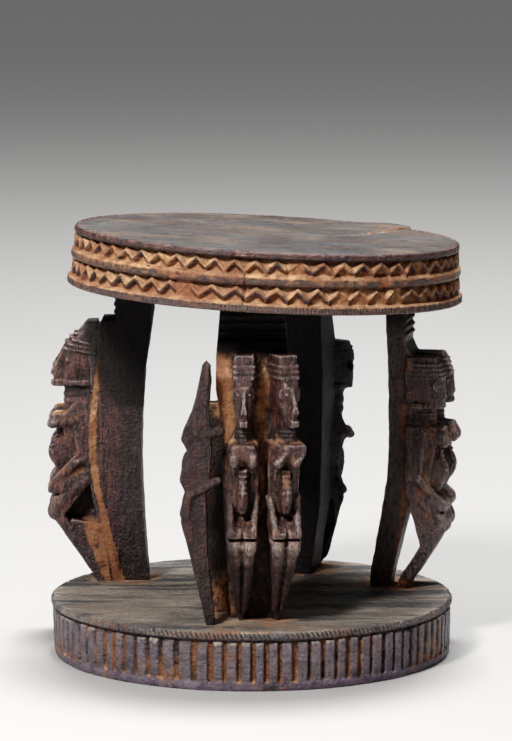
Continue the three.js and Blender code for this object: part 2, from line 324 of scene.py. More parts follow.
FIGURES = {
    "left": {"head": "sloped", "bands": (257.5, 261.6, 265.8), "arm": (2, 14), "slab": (-2, 11), "grip": 130.5},
    "front": {"head": "tall", "bands": (262.4, 267.2, 271.8), "arm": (3, 20), "slab": (-4, 9), "grip": 124.6},
    "right": {"head": "block", "bands": (257.5, 262.5, 267.5, 272.5), "arm": (-6, 13), "slab": (-7, 3), "grip": 128.5},
}


def drum(centre, radii, bottom, top, segments=32):
    """An upright round block, oval in plan."""
    bm = bmesh.new()
    place = Matrix.Translation((*centre, (bottom + top) / 2)) @ Matrix.Diagonal((radii[0], radii[1], 1.0, 1.0))
    bmesh.ops.create_cone(
        bm, cap_ends=True, segments=segments, radius1=1.0, radius2=1.0, depth=top - bottom, matrix=place,
    )
    return object_from(bm)


def ring(centre, radii, thickness, turn=0.0, segments=24):
    """A thin ring standing upright, its axis turned from X about Z by `turn`."""
    bm = bmesh.new()
    bmesh.ops.create_circle(
        bm, cap_ends=False, segments=8, radius=thickness,
        matrix=Matrix.Translation((0, 1, 0)) @ Matrix.Rotation(math.pi / 2, 4, "X") @ Matrix.Rotation(math.pi / 2, 4, "X"),
    )
    bmesh.ops.spin(
        bm, geom=bm.verts[:] + bm.edges[:], cent=(0, 0, 0), axis=(1, 0, 0), angle=2 * math.pi, steps=segments,
        use_merge=True, use_duplicate=False,
    )
    bmesh.ops.recalc_face_normals(bm, faces=bm.faces[:])
    place = Matrix.Translation(centre) @ Matrix.Rotation(turn, 4, "Z") @ Matrix.Diagonal((1.0, radii[0], radii[1], 1.0))
    bmesh.ops.transform(bm, matrix=place, verts=bm.verts[:])
    return object_from(bm)


def stretch_across(obj, factor):
    points = points_of(obj)
    points[:, 1] *= factor
    move_points(obj, points)
    return obj


def front_of(kind, height):
    """How far forward the head stands at a height."""
    outline = HEADS[kind][1:-1]
    return float(np.interp(height, [z for _, z in outline], [x for x, _ in outline]))


def skull(kind, width):
    widths = even_outline([(CHIN, 5.4), (229, 6.6), (238, 8.6), (246, 9.8), (258, 9.6), (270, 9.4), (CROWN, 9.0)])
    if kind == "tall":
        widths = even_outline([(CHIN, 5.0), (229, 6.4), (236, 8.6), (243, 9.8), (251, 10.2), (260, 9.4), (CROWN, 9.0)])
    if kind == "block":
        widths = even_outline([(CHIN, 8.4), (230, 9.4), (233, 10.8), (246, 11), (270, 11), (CROWN, 10.4)])
    made = overlap(
        from_side(HEADS[kind], -12, 12), from_front(widths, -10, 36), from_plan(even_plan(HEAD_PLANS[kind]), 220, 282),
    )
    return stretch_across(made, width)


def face_parts(kind, width):
    """Nose ridge, jaw, chin, lips and eyes, plain and even on both sides."""
    face = FACES[kind]
    tip, chin, side = face["nose"], face["chin"], face["jaw"]
    brow = front_of(kind, 257)
    nose = overlap(
        from_side([(14, 257), (brow + 1.2, 257), ((brow + tip) / 2 + 0.6, 246), (tip, 237), (tip, 233),
                   (tip - 3.4, 231), (16, 231)], -4, 4),
        from_front(even_outline([(230, 3.2), (235, 3.3), (240, 1.8), (256, 1.6)]), 10, 46),
    )
    line = [(-4, 228.5), (14, 227.5), (26, 228.4), (chin, 227.4), (chin, 222.6), (chin - 3.2, CHIN), (-4, CHIN + 1)]
    plan = [(-4, side), (8, side - 0.2), (16, 0.82 * side), (24, 0.56 * side), (chin - 3, 4.2), (chin + 0.4, 3.2)]
    jaw = overlap(from_side(line, -12, 12), from_plan(even_plan(plan), 219, 230))
    parts = [nose, jaw, bar((tip - 5.6, 0, 230.2), (6.4, 6.2, 1.9), round_by=0.7)]
    out, across, height = face["eye"]
    for hand in (-1, 1):
        socket = face["socket"]
        parts.append(ball((out + 0.3, hand * across, height), (2.6, socket[0] - 1.5, socket[1] - 1.5), turn=hand * 0.6))
        parts.append(ring((out, hand * across, height), socket, 1.25, turn=hand * 0.6))
    return stretch_across(gathered(parts), width)


def brow_bands(kind, heights, width):
    """Raised bands round the cap."""
    rings = []
    plan = even_plan([(-8, HEAD_PLANS[kind][0][1] + 0.9)] + [(x + 0.6, y + 1.0) for x, y in HEAD_PLANS[kind][1:]])
    for height in heights:
        front = front_of(kind, height) + 1.7
        rise = 2.2 if kind == "sloped" else 0.0
        profile = [(-7, height - 1.5 - 1.6 * rise), (front, height - 1.6 + rise), (front - 0.5, height + 1.3 + rise),
                   (-7, height + 1.5 - 1.6 * rise)]
        rings.append(overlap(from_side(profile, -14, 14), from_plan(plan, height - 7, height + 6)))
    return stretch_across(gathered(rings), width)


def trunk():
    profile = [(-6, 206), (17, 206), (21, 203), (23, 199), (22, 184), (18, 166), (18, 148), (-6, 146)]
    widths = even_outline([(146, 10.4), (164, 7.2), (184, 9), (196, 12.6), (203, 12.6), (206, 9)])
    body = overlap(from_side(profile, -16, 16), from_front(widths, -7, 30))
    neck = drum((11, 0), (10.6, 6.4), 198, 226)
    shoulders = bar((15.5, 0, 200), (19, 24.5, 8.5), round_by=3.6)
    slope = overlap(
        from_side([(-6, 226), (1, 224), (8, 214), (19, 204.6), (19, 202), (-6, 202)], -14, 14),
        from_front(even_outline([(201, 11.6), (207, 10.4), (215, 7.6), (227, 5.4)]), -8, 24),
    )
    return [body, neck, shoulders, slope]


def neck_rings():
    return [drum((11, 0), (11.6, 7.4), height - 1.1, height + 1.1) for height in (207, 211.4, 215.8)]


def bust():
    """Pointed breasts with an upturned V between them."""
    parts = [bar((23.4, 0, 197.2), (18.4, 21, 12.6), round_by=3.2)]
    for hand in (-1, 1):
        parts.append(limb((10, hand * 8.4, 197.6), (29.6, hand * 7.4, 194), 6.6, 6.0, flat=0.92))
        parts.append(ball((31, hand * 7.4, 192.8), (6.0, 4.8, 5.8)))
    return parts


def belly():
    """A narrow round belly with a navel, pointed below."""
    middle = ball((19.5, 0, 167), (16.8, 5.6, 16.5), tilt=-0.05)
    lower = overlap(
        from_side([(10, 168), (33, 168), (32, 158), (28, 150), (12, 144)], -6, 6),
        from_front([(-4.6, 168), (-4.2, 158), (-2.4, 150), (0, 145), (2.4, 150), (4.2, 158), (4.6, 168)], 8, 40),
    )
    return [middle, lower, limb((30, 0, 165), (33.6, 0, 164.6), 2.8, 2.0)]


def belly_scars():
    plate = from_side([(14, 188), (24, 188), (31, 177), (34, 168), (14, 166)], -2.6, 2.6)
    rungs = [bar((26.6 + 0.36 * (186 - height), 0, height), (5.2, 7.8, 2.3), tilt=0.4, round_by=0.7)
             for height in (168.8, 173, 177.2, 181.4, 185.6)]
    return [plate, *rungs]


def arms(back, front, grip):
    """Flat upper arms, forearms down to the thighs and joined hands."""
    parts = []
    middle = (back + front) / 2
    upper = [(back, 203), (front - 2, 203), (front, 198), (front - 1, 186), (front - 3, 168), (middle + 2, 158),
             (back + 1, 160)]
    for hand in (-1, 1):
        widths = [(8.0, 203.5), (10.6, 202.4), (13.0, 197), (13.4, 182), (12.8, 166), (13.6, 158), (8.8, 157), (8.6, 182)]
        parts.append(overlap(
            from_side(upper, -20, 20), from_front([(hand * across, height) for across, height in widths], -8, 42),
        ))
        parts.append(limb((middle + 2, hand * 11.0, 161), (31.5, hand * 8.8, grip + 9), 5.2, 4.6, flat=0.75))
    hands = overlap(
        from_side([(16, grip + 6), (16, grip + 16), (24, grip + 17), (33, grip + 11), (36.4, grip + 6.5),
                   (35.4, grip + 1), (24, grip)], -14, 14),
        from_front(even_outline([(grip, 12.2), (grip + 11, 12.6), (grip + 17, 11.6)]), 8, 42),
    )
    return [*parts, hands]


def legs(recess, grip):
    """Bent legs: thighs level to the knees, shins running back to the foot."""
    top = [(-6, 154), (-1, 153.5), (14, 146), (27, grip + 5), (30.5, grip), (31, 119), (29, 110)]
    shin = [(-10, 51), (-10, 43), (-19, 43)]
    inner = [(-12.5, 60), (6, 93), (-3, 128)]
    if recess:
        inner = [(-11, 60), (5, 86), (17.5, 104), (21, 111), (-2, 142.5), (-8, 144)]
    widths = even_outline([(42, 2.6), (57, 3.8), (69, 6.2), (90, 9.6), (110, 10.8), (124, 11), (154, 11.4)])
    block_part = overlap(from_side(top + shin + inner, -15, 15), from_front(widths, -24, 42))
    parts = [block_part]
    for hand in (-1, 1):
        parts.append(limb((28.6, hand * 5.6, 115), (-4, hand * 2.5, 58), 6.3, 3.6))
        parts.append(ball((30.6, hand * 6.5, 115.5), (6.2, 5.9, 8.8)))
        parts.append(limb((2, hand * 7.0, 144), (27, hand * 6.9, 122), 6.2, 7.4, flat=0.9))
    parts.append(limb((-4, 0, 60), (-11, 0, 44), 4.4, 3.2, flat=0.8))
    return parts


def arm_cuts(slab):
    """Upright grooves down the flanks behind the arms and a nick at each elbow."""
    cuts = []
    back, front = slab
    for hand in (-1, 1):
        for share in (0.2, 0.45, 0.7, 0.93):
            cuts.append(bar((back + share * (front - back), hand * 13.2, 180), (1.3, 3.4, 42), round_by=0.3))
        cuts.append(bar(((back + front) / 2, hand * 13.8, 164.5), (front - back + 8, 2.4, 1.6), tilt=0.3, round_by=0.3))
    return cuts


def leg_cuts(grip):
    """The cleft between the legs, the edge of the hands over the knees, and the fingers."""
    cleft = from_side([(25, grip - 2), (44, grip - 2), (44, 108), (2, 46), (-5, 57), (23, 106)], -0.8, 0.8)
    hands = from_side([(24, grip + 1.2), (42, grip), (42, grip - 2), (26, grip - 1.4)], -16, 16)
    fingers = [bar((35.4, hand * across, grip + 5), (5, 0.9, 7), tilt=0.25, round_by=0.3)
               for hand in (-1, 1) for across in (5.6, 8.2)]
    between = from_front([(-1.0, grip), (-0.6, grip + 14), (0.6, grip + 14), (1.0, grip)], 26, 44)
    return [cleft, hands, between, *fingers]


def face_cuts(kind):
    face = FACES[kind]
    out, across, height = face["eye"]
    mouth = bar((face["chin"] + 0.4, 0, 229.2), (11, 13, 1.3), round_by=0.3)
    slits = [bar((out + 2.4, hand * (across + 0.9), height), (1.7, 4.2, 0.8), turn=hand * 0.7, round_by=0.2)
             for hand in (-1, 1)]
    return [mouth, *slits]


def figure(style, recess=False, head_width=1.0, plain=False):
    look = FIGURES[style]
    kind, grip, slab = look["head"], look["grip"], look["slab"]
    flank = overlap(
        from_side([(slab[0], 157), (slab[1], 157), (slab[1], 203), (slab[0], 203)], -16, 16),
        from_front(even_outline([(156, 12.0), (204, 12.0)]), -8, 30),
    )
    back = from_side([(-7, 143), (2, 143), (2, 204), (-7, 204)], -11, 11)
    masses = [skull(kind, head_width), *trunk(), *bust(), *arms(*look["arm"], grip), *legs(recess, grip), flank, back]
    body = soften(fuse(gathered(masses), 1.0), 2)
    recess_front = [(-6.8, 183), (-6.9, 158), (-4.6, 149), (0, 145.4), (4.6, 149), (6.9, 158), (6.8, 183)]
    combine(body, from_front(recess_front, 19.5, 40), "DIFFERENCE")
    body = fuse(gathered([body, *belly()]), 0.9)
    cuts = leg_cuts(grip) if plain else [*leg_cuts(grip), *arm_cuts(slab)]
    for cut in cuts:
        combine(body, cut, "DIFFERENCE")
    fine = [body, face_parts(kind, head_width), brow_bands(kind, look["bands"], head_width), *neck_rings()]
    if not plain:
        fine += belly_scars()
    whole = fuse(gathered(fine), 0.7)
    for cut in face_cuts(kind):
        combine(whole, cut, "DIFFERENCE")
    return soften(whole, 1)


def copy_of(obj):
    made = bpy.data.objects.new("part", obj.data.copy())
    bpy.context.scene.collection.objects.link(made)
    return made


def placed_figure(model, heights, across, reach=(1,) * 7, lean=0.0, turn=0.0, head_turn=0.0):
    """Fits a figure to its post: heights, how far it stands out at each of them, lean and turn."""
    made = copy_of(model)
    points = points_of(made)
    carved = points[:, 2].copy()
    out = np.interp(carved, CARVED_HEIGHTS, reach)
    forward = np.where(points[:, 0] > 0, points[:, 0] * out, points[:, 0])
    twist = np.radians(turn + head_turn * smoothstep(190, 202, carved))
    points[:, 0] = forward * np.cos(twist) - points[:, 1] * np.sin(twist)
    points[:, 1] = forward * np.sin(twist) + points[:, 1] * np.cos(twist) + across + lean * (CROWN - carved)
    points[:, 2] = np.where(carved < CARVED_HEIGHTS[0], carved, np.interp(carved, CARVED_HEIGHTS, heights))
    move_points(made, points)
    return made


# Posts

THICK_BACK = [(-58, POST_TOP), (-57, 285), (-49, 232), (-46.5, 190), (-45.5, 150), (-48, 95), (-52, POST_FOOT)]
THICK_FRONT = [(-15, POST_FOOT), (-10, 98), (-3, 118), (1, 151), (0, 192), (-2, 221), (0, 250), (-12, 278), (-24, 278)]
THIN_BACK = [(-26, POST_TOP), (-25.5, 283), (-23, 231), (-22.5, 181), (-25, 140), (-31, 106), (-39, 62), (-40, POST_FOOT)]
THIN_FRONT = [(-23, POST_FOOT), (-19.8, 60), (-11.5, 95), (-5.4, 119), (-4, 150), (-3, 205), (-2, 250), (-8, 262)]
RIB_PITCH = 6.6


def ribbed_edge(forward, lowest_rib):
    edge = []
    for row in range(4):
        bottom = lowest_rib + row * RIB_PITCH
        edge += [(forward, bottom), (forward + 1.9, bottom + 1.6), (forward + 1.9, bottom + 3.2), (forward, bottom + 4.8)]
    return [*edge, (forward, POST_TOP)]


def post_body(side, half_widths, corner, depth):
    plan = even_plan([(-70, 0), (-depth, 12), (-depth + corner, 40), (10, 40)])
    return overlap(
        from_side(side, -40, 40),
        from_front(even_outline(half_widths), -70, 10),
        from_plan(plan, POST_FOOT - 1, POST_TOP + 1),
    )


def ground_slab(half_width, low=56, high=262):
    """The ground behind a pair of figures, its edges sloped back to the flanks of the post."""
    side = [(-26, low), (-17, 98), (-8, 118), (-1, 145), (0.5, 195), (0, 221), (-2, 250), (-10, high + 14), (-30, high + 14)]
    plan = even_plan([(-30, half_width - 4), (-10, half_width), (0.6, half_width - 4.5)])
    return overlap(from_side(side, -40, 40), from_plan(plan, low, high))


def front_post_parts():
    model = figure("front", head_width=0.93)
    heights = (49, 112, 143, 178, 198, 212, 270)
    body = post_body(
        [*THICK_BACK, *THICK_FRONT, *ribbed_edge(-24, 282)],
        [(POST_FOOT, 18), (130, 23), (215, 26), (240, 30), (262, 30), (POST_TOP, 25)], 9, 58,
    )
    slab = [(-31, POST_FOOT), (-46, 120), (-46, 165), (-36, 225), (0, 225), (0, POST_FOOT)]
    parts = [
        body,
        from_front(slab, -48, -36),
        placed_figure(model, heights, -6.5, lean=-0.012),
        placed_figure(model, heights, 23, lean=-0.006, turn=10, head_turn=14),
        thin_figure(),
    ]
    discard(model)
    return parts


def thin_figure():
    """The thin figure on the left flank of the front post, seen from the side, arms to the post."""
    profile = [
        (13, 44), (17, 44), (31, 105), (38.5, 134), (38, 141), (33, 146), (31, 150), (39.6, 168), (38, 176), (33, 192),
        (36.5, 198), (37.8, 203), (36, 209), (29, 226), (24, 243), (21, 262), (17, 266), (14, 262), (12.6, 250), (15, 226),
        (14, 212), (12.6, 192), (14.6, 170), (17.4, 158), (16.5, 140), (16, 107), (10, 50),
    ]
    body = overlap(
        from_side(profile, -9, 9),
        from_front(even_outline([(44, 3.6), (107, 6.5), (135, 8.4), (200, 8.6), (240, 6.4), (267, 4)]), 0, 45),
    )
    soften(fuse(body, 1.0), 4)
    parts = [
        body,
        limb((33, 4, 202), (6, 6, 208), 5.0, 4.2),
        ball((33, 3, 202), (5.4, 6.6, 5.6)),
        ball((25, 4, 206), (5.5, 6, 6)),
        ball((8, 6, 209), (5, 4.4, 3.8)),
        ball((30, 3, 178), (8.2, 7, 16)),
        limb((31, 6.0, 156), (8, 6.4, 168), 4.6, 3.8),
        limb((31, 5.4, 156), (34, 4.6, 141), 5.0, 5.4),
        ball((33, 3, 139), (5.6, 7, 7)),
        limb((32, 3.4, 136), (15.5, 1, 56), 5.6, 3.0),
        limb((19.6, 5.4, 214), (15.6, 4.6, 262), 3.2, 2.4),
        limb((26.4, 3.4, 214), (19.4, 3.0, 258), 4.2, 2.4),
    ]
    made = gathered(parts)
    points = points_of(made)
    placed = points.copy()
    placed[:, 0] = points[:, 1] + 12
    placed[:, 1] = -points[:, 0] - 20
    move_points(made, placed)
    return made


def left_post_parts():
    model = figure("left", recess=True)
    body = post_body(
        [*THICK_BACK, *THICK_FRONT, *ribbed_edge(-24, 282)],
        [(POST_FOOT, 18), (110, 24), (230, 25), (POST_TOP, 23)], 8, 58,
    )
    web = from_side([(-20, 45), (-8, 45), (16, 96), (16, 103), (-10, 99)], -22, 22)
    screen = from_side([(-20, 90), (10, 90), (20, 104), (2, 137), (-10, 142)], -6, 6)
    parts = [
        body, web, screen, ground_slab(25.2),
        placed_figure(model, (49, 110, 149, 184, 198, 222, 275), -13.4),
        placed_figure(model, (49, 107, 145.5, 181, 195, 219, 272), 13.4),
    ]
    discard(model)
    return parts


def right_post_parts():
    model = figure("right")
    body = post_body(
        [*THIN_BACK, *THIN_FRONT, *ribbed_edge(-8, 266)],
        [(POST_FOOT, 12), (110, 15), (200, 21), (POST_TOP, 22)], 8, 39,
    )
    parts = [
        body,
        placed_figure(model, (49, 103, 135, 170, 189, 205, 250), -13.3, (1, 0.85, 0.8, 0.84, 0.84, 0.85, 0.85)),
        placed_figure(model, (49, 104, 137, 172, 191, 207, 252), 13.5, (1, 0.82, 0.85, 0.95, 0.95, 0.96, 0.96)),
    ]
    discard(model)
    return parts


def rear_post_parts():
    model = figure("right", plain=True)
    heights = (49, 104, 122, 160, 170, 206, 250)
    reach = (0.4, 0.3, 0.5, 0.62, 0.68, 0.85, 0.85)
    body = post_body(
        [*THICK_BACK, *THICK_FRONT, *ribbed_edge(-24, 282)],
        [(POST_FOOT, 10), (110, 18), (230, 20.5), (POST_TOP, 20.5)], 8, 58,
    )
    parts = [
        body,
        placed_figure(model, heights, -11, (0.4, 0.35, 0.55, 0.72, 0.8, 1.0, 1.0), turn=-34),
        placed_figure(model, heights, 12, reach, turn=22),
    ]
    discard(model)
    return parts


def carved_post(name, parts, voxel, most_triangles, place, rule):
    """Fuses a post and its figures, works the surface and marks where dust lies, where rubbing and painted highlights
    lie, and where sooty black and painted shade lie.
    """
    post = soften(fuse(gathered(parts, name), voxel), 1)
    points = points_of(post)
    normals = normals_of(post)
    flat_side = smoothstep(2, -6, points[:, 0])
    scoop = scoops_at(points, np.array((5.5, 5.5, 15.0)), seed=3) - 0.4
    lumps = roughness_at(points, 9.0, seed=11)
    fine = roughness_at(points, 2.4, seed=5)
    shift = -0.35 + (0.2 + 0.8 * flat_side) * 0.6 * scoop + 0.3 * lumps + 0.16 * fine
    move_points(post, points + normals * shift[:, None])
    deep = hollows(post, 6)
    broad = hollows(post, 40)
    upward = smoothstep(-0.3, 0.7, normals[:, 2])
    figures = smoothstep(-4, 3, points[:, 0])
    raised = 0.8 * smoothstep(0.03, 0.28, -deep) + 0.9 * smoothstep(0.2, 1.1, -broad)
    knees = 0.7 * figures * band(points[:, 2], 102, 122, 5) * smoothstep(18, 27, points[:, 0])
    shins = 1 - 0.65 * smoothstep(106, 92, points[:, 2])
    veil = figures * (0.18 + 0.16 * roughness_at(points, 14.0, 61)) * band(points[:, 2], 112, 206, 8)
    dust, soot_and_shade, shine, bloom = rule(points, normals)
    # Painted shade: the deeper a point lies in a recess, the darker its colour.
    store(post, "hollow", 0.5 + 0.9 * deep + 0.25 * broad)
    store(post, "dust", dust + smoothstep(0.15, 1.3, broad) * 0.45 * figures + 0.1 * upward + veil * (soot_and_shade < 0.2))
    # Rubbing plus painted highlights: lighter on raised parts, knees and upward faces.
    store(post, "wear_and_highlight", shine * (raised + knees) * shins * (0.35 + 0.65 * upward) * (0.4 + 0.6 * figures) + place["bare"])
    # Sooty black and painted shade: near-black where the seat and the figures cast shade.
    store(post, "soot_and_shade", soot_and_shade)
    store(post, "ruddy", np.maximum(bloom, place["warmth"] * figures * shins))
    # Painted light: dust on upward faces turns paler.
    store(post, "top_light", upward)
    thinned(post, most_triangles)
    turn = Matrix.Rotation(math.radians(place["facing"]), 4, "Z")
    post.data.transform(Matrix.Translation((place["x"], place["y"], 0.0)) @ turn)
    return post


# bare adds lightening all over each post; on the right post it is raised to paint sheen on the figures.
PLACES = {
    "front_post": {"x": 0.5, "y": -122, "facing": -90, "warmth": 0.8, "bare": 0.07},
    "left_post": {"x": -141.5, "y": 76, "facing": 180, "warmth": 1.0, "bare": 0.07},
    "right_post": {"x": 143.5, "y": 36, "facing": -12, "warmth": 0.5, "bare": 0.22},
    "rear_post": {"x": 55, "y": 138, "facing": 75, "warmth": 0.3, "bare": 0.0},
}


def band(value, low, high, edge):
    """1 between low and high, falling off over edge on both sides."""
    return smoothstep(low - edge, low, value) * (1 - smoothstep(high, high + edge, value))


def patch(first, second, middle, size):
    """A soft oval patch, 1 in its middle."""
    return np.exp(-((first - middle[0]) / size[0]) ** 2 - ((second - middle[1]) / size[1]) ** 2)


def front_marks(points, normals):
    """Where dust, sooty black and painted shade, shine and redder wood lie on the front post."""
    out, across, height = points.T
    edge = np.interp(height, (46, 98, 118, 151, 192, 221, 250, 278), (-15, -10, -3, 1, 0, -2, 0, -12))
    ground = smoothstep(3.0, 0.6, out - edge) * smoothstep(276, 268, height) * smoothstep(-0.2, 0.5, normals[:, 0])
    amount = 0.3 + 0.9 * patch(across, height, (-24, 240), (10, 26)) + 0.45 * patch(across, height, (-20, 212), (7, 16))
    amount += 0.5 * patch(across, height, (8, 236), (6, 26)) + 0.45 * patch(across, height, (-24, 62), (8, 22))
    amount += 0.35 * patch(across, height, (8, 180), (5, 40)) - 0.2 * smoothstep(26, 34, across)
    slopes = 0.62 * smoothstep(0.3, 0.75, normals[:, 2]) * band(height, 192, 218, 6) * smoothstep(24, 14, out)
    thin_one = smoothstep(-15, -19, across + 0.06 * (height - 150)) * smoothstep(3, 6, out)
    # Painted shade as well as sooty black: near-black at the top under the seat, a painted shadow of the thin figure on
    # the ground and on the flank behind it, painted shade under the jaws, and the thin figure itself darker.
    soot_and_shade = smoothstep(262, 272, height) * smoothstep(2, -4, out)
    soot_and_shade = np.maximum(soot_and_shade, 0.8 * ground * band(across, -40, -24, 3) * band(height, 92, 208, 14))
    flank = smoothstep(-0.2, -0.7, normals[:, 1]) * smoothstep(-19, -23, across) * smoothstep(8, 3, out)
    soot_and_shade = np.maximum(soot_and_shade, 0.8 * flank * band(height, 70, 208, 14) * (1 - thin_one))
    soot_and_shade = np.maximum(soot_and_shade, 0.7 * band(height, 203, 211, 2) * band(out, 3, 22, 2))
    soot_and_shade = np.maximum(soot_and_shade, 0.5 * thin_one)
    return np.maximum(amount * ground, slopes), soot_and_shade, 1.4 - 1.1 * thin_one, 0.1 + 0.0 * out


def left_marks(points, normals):
    out, across, height = points.T
    heights = (50, 85, 112, 130, 151, 173, 202, 250)
    back = np.interp(height, heights, (-30, -20, -14, -9.4, -7, -6.6, -7.4, -11))
    front = np.interp(height, heights, (-17, -13, -9.5, -4.5, -1.5, -0.5, -2.5, -9))
    strip = smoothstep(-2.2, 0.6, out - back) * smoothstep(1.6, -0.4, out - front) * smoothstep(262, 246, height)
    calf = np.interp(height, (45, 50, 88.6, 105), (-14, -12, 2.5, 8))
    web = band(out, -19, calf - 1, 2.5) * smoothstep(106, 98, height) * smoothstep(23.8, 22.6, np.abs(across))
    ledges = smoothstep(0.35, 0.85, normals[:, 2]) * smoothstep(8, 3, np.abs(height - 200))
    thighs = smoothstep(0.3, 0.8, normals[:, 2]) * band(height, 136, 152, 4) * smoothstep(30, 20, out)
    # Painted shadow of the seat: near-black above a line that drops towards the back down the flank; also darker
    # towards the back of the post, and painted shade under the jaws.
    shade = height - np.interp(out, (-30, -18, -9, -4, 7), (190, 202, 220, 242, 268))
    soot_and_shade = smoothstep(-10, 16, shade) * smoothstep(9, 5, out) * smoothstep(190, 206, height)
    soot_and_shade = np.maximum(soot_and_shade, 0.3 * smoothstep(-14, -26, out))
    soot_and_shade = np.maximum(soot_and_shade, 0.75 * band(height, 211, 220, 2) * band(out, 2, 24, 2))
    corner = band(out, -26, -11, 4) * band(height, 70, 235, 20)
    dust = np.maximum.reduce([0.8 * strip, 0.6 * web, 0.5 * ledges, 0.45 * thighs])
    shine = 1.35 - 0.8 * band(height, 98, 128, 5) * smoothstep(12, 22, out)
    return dust, soot_and_shade, shine, 0.1 + 0.75 * corner


def right_marks(points, normals):
    out, across, height = points.T
    back = np.interp(height, (50, 95, 119, 150, 205), (-26, -16, -12, -12, -12))
    front = np.interp(height, (50, 95, 119, 150, 205), (-19, -10, -5, -5, -2))
    strip = smoothstep(-2, 1, out - back) * smoothstep(2, -1, out - front) * smoothstep(256, 246, height)
    foot = smoothstep(62, 52, height) * band(out, -30, 2, 4)
    elbows = 0.16 * band(height, 132, 160, 8) * band(out, -6, 14, 4)
    # Painted shade: near-black at the top of the post under the seat.
    soot_and_shade = smoothstep(256, 286, height) * smoothstep(1, -3, out)
    # Stronger shine here paints sheen on the figures.
    shine = 1.7 - 0.8 * band(height, 98, 128, 5) * smoothstep(12, 22, out)
    return np.maximum.reduce([0.34 * strip, 0.5 * foot, elbows]), soot_and_shade, shine, 0.1 + 0.9 * strip


def rear_marks(points, normals):
    out, across, height = points.T
    dust = 0.2 * band(out, -14, 0, 3) * band(height, 40, 250, 10)
    # Painted shade: the whole rear post near-black, darker towards the top.
    return dust, 0.75 + 0.25 * smoothstep(150, 250, height), 0.4 + 0.0 * out, 0.0 * out


# Round pieces: a profile spun about the upright axis

def spun(name, profile, wedges, columns):
    """Turns a profile about the upright axis: one wedge of it first, then the wedge all the way round."""
    bm = bmesh.new()
    ring = [bm.verts.new((radius, 0.0, height)) for radius, height in profile]
    edges = [bm.edges.new(pair) for pair in zip(ring, ring[1:])]
    around = {"cent": (0, 0, 0), "axis": (0, 0, 1), "use_merge": False, "use_normal_flip": False}
    turn = 2 * math.pi / wedges
    bmesh.ops.spin(bm, geom=ring + edges, angle=turn, steps=columns, use_duplicate=False, **around)
    wedge = bm.verts[:] + bm.edges[:] + bm.faces[:]
    bmesh.ops.spin(bm, geom=wedge, angle=turn * (wedges - 1), steps=wedges - 1, use_duplicate=True, **around)
    bmesh.ops.remove_doubles(bm, verts=bm.verts[:], dist=1e-3)
    bmesh.ops.recalc_face_normals(bm, faces=bm.faces[:])
    return object_from(bm, name)


def stepped(marks):
    """A profile from (radius, height, step) marks: each stretch is divided into steps of that length."""
    points = [marks[0][:2]]
    for (radius_a, height_a, _), (radius_b, height_b, step) in zip(marks, marks[1:]):
        count = max(1, round(math.hypot(radius_b - radius_a, height_b - height_a) / step))
        for i in range(1, count + 1):
            share = i / count
            points.append((radius_a + share * (radius_b - radius_a), height_a + share * (height_b - height_a)))
    return points


def polar(points):
    radius = np.hypot(points[:, 0], points[:, 1])
    angle = np.degrees(np.arctan2(points[:, 1], points[:, 0]))
    return radius, angle


def varied(count, seed):
    """A list of repeatable numbers from -1 to 1."""
    return np.array([2 * ((math.sin(127.1 * i + 311.7 * seed) * 43758.5453) % 1.0) - 1 for i in range(count)])


# Base

BASE_FOOT = 169.0
BASE_TOP = 171.8
BASE_HEIGHT = 48.8
BAR_LOW = 7.0
BAR_HIGH = 41.5
BAR_COUNT = 93
BAR_DEPTH = 3.0


